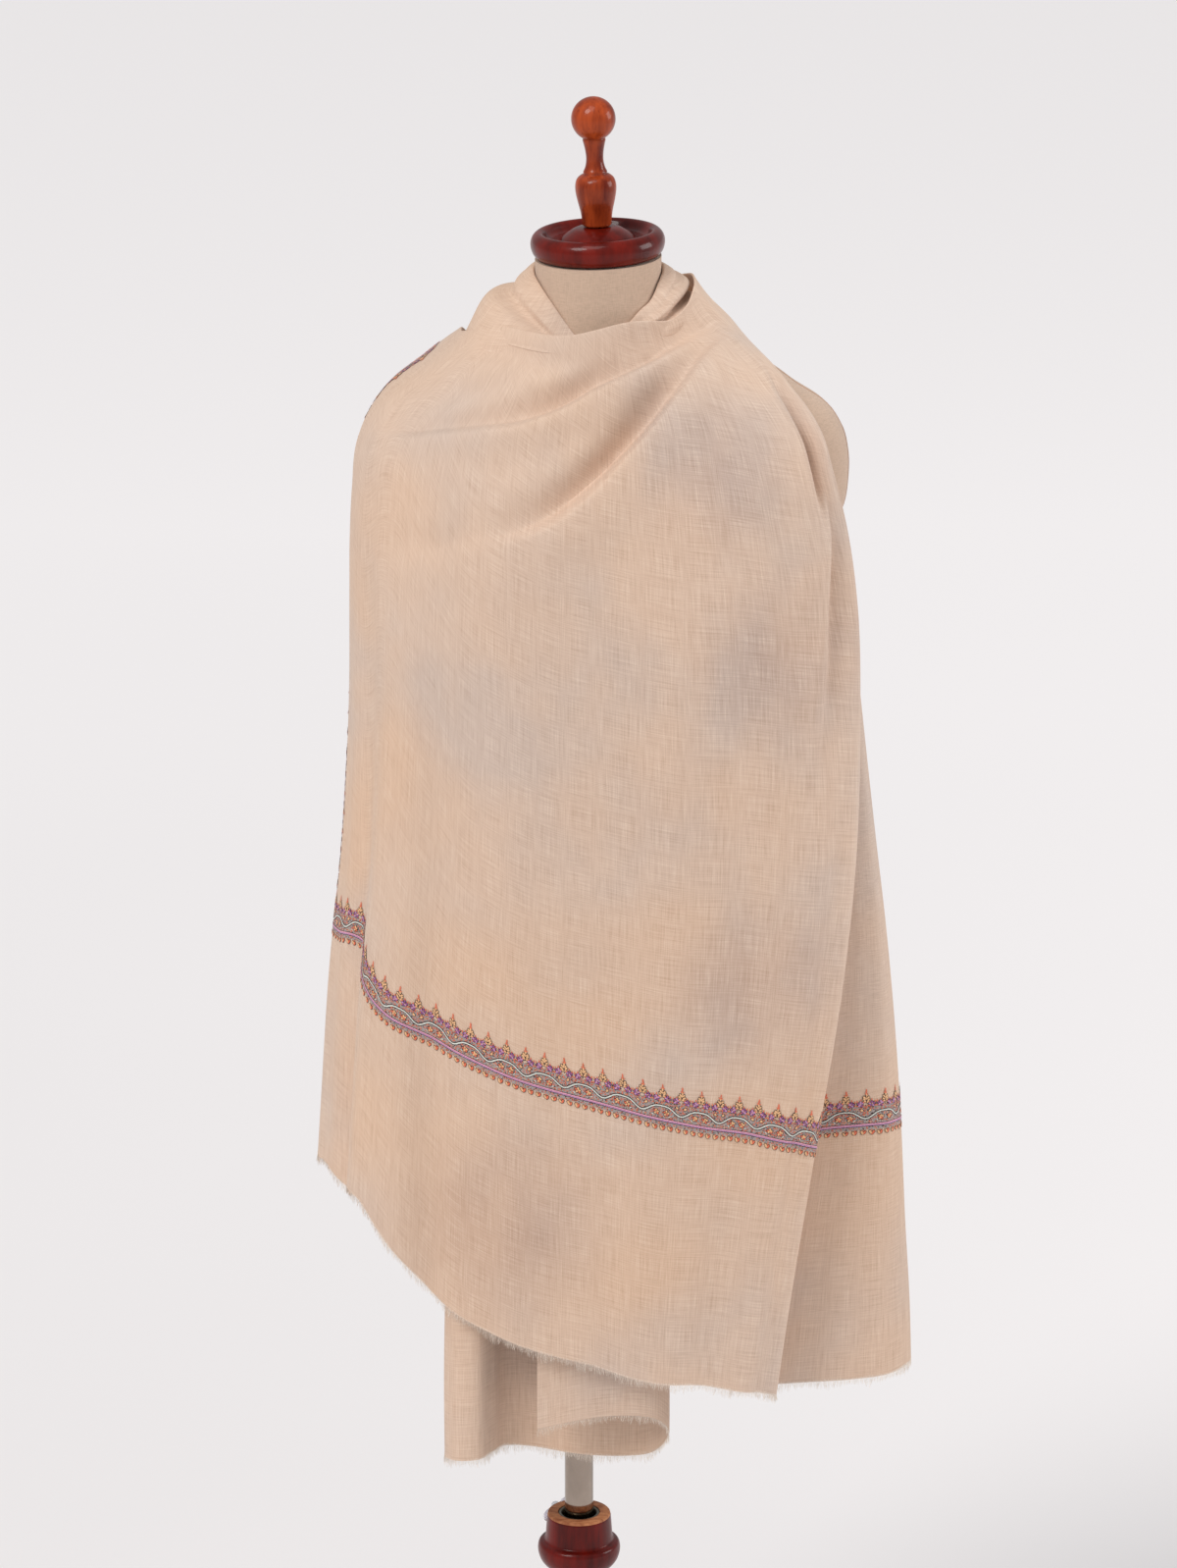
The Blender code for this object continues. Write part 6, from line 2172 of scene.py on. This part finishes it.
@dataclass
class Stand:
    """The round foot, the column with its bush, the pole and the clamping screw."""

    segments: int = 96

    def turned(
        self, name: str, profile: Array, material: Material, body: str, finish: str, node: str
    ) -> None:
        """One turned piece on the pole's axis.

        Args:
            name: the piece's name
            profile: radius and height of each corner
            material: its finish
            body: the body that it rides on
            finish: a finish name, handed on to the piece's build
            node: the node that it stands for
        """
        skin = Gather(name, [material])
        skin.lathe(np.array(profile, dtype=float), self.segments, upright)
        skin.build(body, finish, [node])

    def column(self) -> None:
        """The column: lacquer outside, bare end grain on its rim, and a bore."""
        rim = 0.0006
        outside = rounded(COLUMN_OUTSIDE[:-1], 2)
        top = np.array((
            (COLUMN_OUTSIDE[-1][0] + 0.0003, COLUMN_TOP - 0.0022),
            (COLUMN_OUTSIDE[-1][0], COLUMN_TOP - rim),
            (COLUMN_OUTSIDE[-1][0] - rim, COLUMN_TOP),
            (LINER_RADIUS + SEAM, COLUMN_TOP),
            (LINER_RADIUS + SEAM, LINER_BOTTOM - SEAM),
            (BORE_RADIUS, LINER_BOTTOM - SEAM),
            (BORE_RADIUS, BORE_BOTTOM),
            (0.0, BORE_BOTTOM),
        ))
        foot = np.array(((0.0, COLUMN_OUTSIDE[0][1]),))
        skin = Gather("column_turned", [STAND_WOOD.material(), COLUMN_END.material()])
        skin.lathe(np.concatenate((foot, outside, top[:1])), self.segments, upright, 0)
        skin.lathe(top, self.segments, upright, 1)
        skin.build("stand", "stand_wood", ["column"])

    def screw(self) -> None:
        """A hub on a shank with two rounded ears.

        An ear is an ellipsoid flattened along the screw, x = a cos u cos v, y = b sin v,
        z = c sin u cos v, set out from the hub and rolled about the screw's axis.
        """
        out = np.array((math.cos(SCREW_HEADING), math.sin(SCREW_HEADING), 0.0))
        side = np.cross(out, (0.0, 0.0, 1.0))
        up = np.array((0.0, 0.0, 1.0))
        centre = np.array((0.0, 0.0, SCREW_HEIGHT))

        def lie(points: Array) -> Array:
            """Local X, Y and Z laid along the screw's side, its upright and its axis.

            Args:
                points: grid of points, rows by columns

            Returns:
                The laid points.
            """
            roll = WING_ROLL
            across = side * math.cos(roll) + up * math.sin(roll)
            above = np.cross(out, across) * -1.0
            return centre + points[..., :1] * across + points[..., 1:2] * above + points[..., 2:3] * out

        skin = Gather("wing_screw_moulded", [WING_PLASTIC.material()])
        near, far = SCREW_HUB_NEAR, SCREW_HUB_FAR
        hub = (
            (0.0, POLE_RADIUS + SEAM), (SCREW_SHANK, POLE_RADIUS + SEAM), (SCREW_SHANK, near),
            (0.0050, near), (0.0054, near + 0.002), (0.0052, far - 0.002), (0.0046, far), (0.0, far),
        )
        skin.lathe(np.array(hub), 40, lie)
        round_it = np.linspace(0, 2 * math.pi, 36, endpoint=False)
        u, v = np.meshgrid(round_it, np.linspace(-math.pi / 2, math.pi / 2, 22))
        for sign in (-1.0, 1.0):
            x = sign * 0.0086 + 0.0076 * np.cos(u) * np.cos(v)
            y = 0.0060 * np.sin(v)
            z = (near + far) / 2 + 0.0022 * np.sin(u) * np.cos(v)
            skin.add(lie(np.stack((x, y, z), axis=2)), grid_faces(22, 36, wrap=True))
        skin.build("wing_screw", "clear_plastic", ["wing_screw"])

    def build(self) -> None:
        """Make every piece of the stand."""
        foot = rounded(BASE_PROFILE, 2)
        self.turned("base_turned", foot, STAND_WOOD.material(), "stand", "stand_wood", "base")
        self.column()
        lip = COLUMN_TOP - 0.0005
        mouth = COLUMN_TOP - LINER_MOUTH_DEPTH
        guide = POLE_RADIUS + SEAM
        bush = (
            (guide, LINER_BOTTOM), (LINER_RADIUS, LINER_BOTTOM), (LINER_RADIUS, lip - 0.0004),
            (LINER_RADIUS - 0.0004, lip), (LINER_MOUTH + 0.0004, lip), (LINER_MOUTH, lip - 0.0004),
            (LINER_MOUTH, mouth), (guide, mouth), (guide, LINER_BOTTOM),
        )
        self.turned("bush_turned", bush, BUSH_STEEL.material(), "stand", "dark_steel", "collar_liner")
        edge = 0.0006
        pole = (
            (0.0, POLE_BOTTOM), (POLE_RADIUS - edge, POLE_BOTTOM), (POLE_RADIUS, POLE_BOTTOM + edge),
            (POLE_RADIUS, POLE_TOP - edge), (POLE_RADIUS - edge, POLE_TOP), (0.0, POLE_TOP),
        )
        self.turned("pole_drawn", pole, POLE_STEEL.material(), "pole", "steel", "pole")
        self.screw()


# ---- studio
@dataclass(frozen=True)
class Lamp:
    """A soft area light.

    Attributes:
        name: Name of the light.
        place: Where it stands.
        aim: What it faces.
        size: Side of its square.
        power: Watts.
        colour: Its colour.
    """

    name: str
    place: tuple
    aim: tuple
    size: float
    power: float
    colour: tuple = (1.0, 1.0, 1.0)

    def build(self) -> None:
        """Hang the light."""
        data = bpy.data.lights.new(self.name, "AREA")
        data.energy = self.power
        data.size = self.size
        data.color = self.colour
        lamp = bpy.data.objects.new(self.name, data)
        lamp.location = self.place
        lamp.rotation_euler = (Vector(self.aim) - Vector(self.place)).to_track_quat("-Z", "Y").to_euler()
        bpy.context.scene.collection.objects.link(lamp)


@dataclass
class Studio:
    """Camera, wide pale floor and soft light."""

    reach: float = 45.0
    ambient: float = 0.47
    sun: float = 1.50
    sun_from: tuple = (-3.9, -4.4, 5.6)
    sun_width: float = math.radians(24.0)
    lamps: tuple = (
        Lamp("side", (5.2, 0.2, 2.8), (0.1, 0.0, 1.0), 2.4, 105.0),
        Lamp("top", (-0.6, -1.6, 5.0), (0.0, 0.0, 1.3), 1.8, 36.0, (1.0, 0.985, 0.965)),
    )

    def camera(self) -> None:
        """Look at the form from a little above the shoulders."""
        data = bpy.data.cameras.new("camera")
        data.sensor_width = SENSOR
        data.lens = FOCAL_PIXELS / IMAGE_HEIGHT * SENSOR
        data.clip_end = 100.0
        camera = bpy.data.objects.new("camera", data)
        back = Vector((0.0, -math.cos(CAMERA_PITCH), math.sin(CAMERA_PITCH)))
        camera.location = Vector(CAMERA_TARGET) + back * CAMERA_DISTANCE
        camera.rotation_euler = (-back).to_track_quat("-Z", "Y").to_euler()
        bpy.context.scene.collection.objects.link(camera)
        bpy.context.scene.camera = camera

    def floor(self) -> None:
        """One large flat sheet of paper under the stand."""
        corners = [(x * self.reach, y * self.reach, 0.0) for x, y in ((-1, -1), (1, -1), (1, 1), (-1, 1))]
        mesh = bpy.data.meshes.new("studio_floor")
        mesh.from_pydata(corners, [], [(0, 1, 2, 3)])
        mesh.materials.append(STUDIO_PAPER.material())
        floor = bpy.data.objects.new("studio_floor", mesh)
        bpy.context.scene.collection.objects.link(floor)
        floor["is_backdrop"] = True

    def key(self) -> None:
        """A wide sun from the upper left of the front."""
        data = bpy.data.lights.new("key", "SUN")
        data.energy = self.sun
        data.angle = self.sun_width
        data.color = (1.0, 0.985, 0.965)
        lamp = bpy.data.objects.new("key", data)
        lamp.location = self.sun_from
        lamp.rotation_euler = (-Vector(self.sun_from)).to_track_quat("-Z", "Y").to_euler()
        bpy.context.scene.collection.objects.link(lamp)

    def build(self) -> None:
        """Set up everything that isn't part of the object."""
        world = bpy.data.worlds.new("studio_air")
        world.use_nodes = True
        sky = world.node_tree.nodes["Background"]
        sky.inputs["Color"].default_value = (0.96, 0.98, 1.0, 1.0)
        sky.inputs["Strength"].default_value = self.ambient
        bpy.context.scene.world = world
        bpy.context.scene.view_settings.view_transform = "Standard"
        self.camera()
        self.floor()
        self.key()
        for lamp in self.lamps:
            lamp.build()


def corners(bounds: tuple) -> list:
    """A box as plain lists of numbers."""
    return [list(corner) for corner in bounds]


def main() -> None:
    """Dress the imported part: studio, form, stand and the shawl."""
    logging.basicConfig(level=logging.INFO, format="%(name)s: %(message)s")
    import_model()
    cad_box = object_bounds()
    Studio().build()
    Torso().build(FORM_LINEN.material(), SEAM_LINEN.material())
    Cap().build()
    Stand().build()
    cloth = PASHMINA.material()
    wool = FRAY_WOOL.material()
    panel = FrontPanel()
    panel.build(cloth, wool)
    SideStrip().build(panel, cloth, wool)
    NeckWrap().build(cloth)
    HangingEnd().build(cloth, wool)
    visual_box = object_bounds()
    {"cad": corners(cad_box), "visual": corners(visual_box)}
    LOG.info("CAD box %s, visual box %s", corners(cad_box), corners(visual_box))


if __name__ == "__main__":
    main()
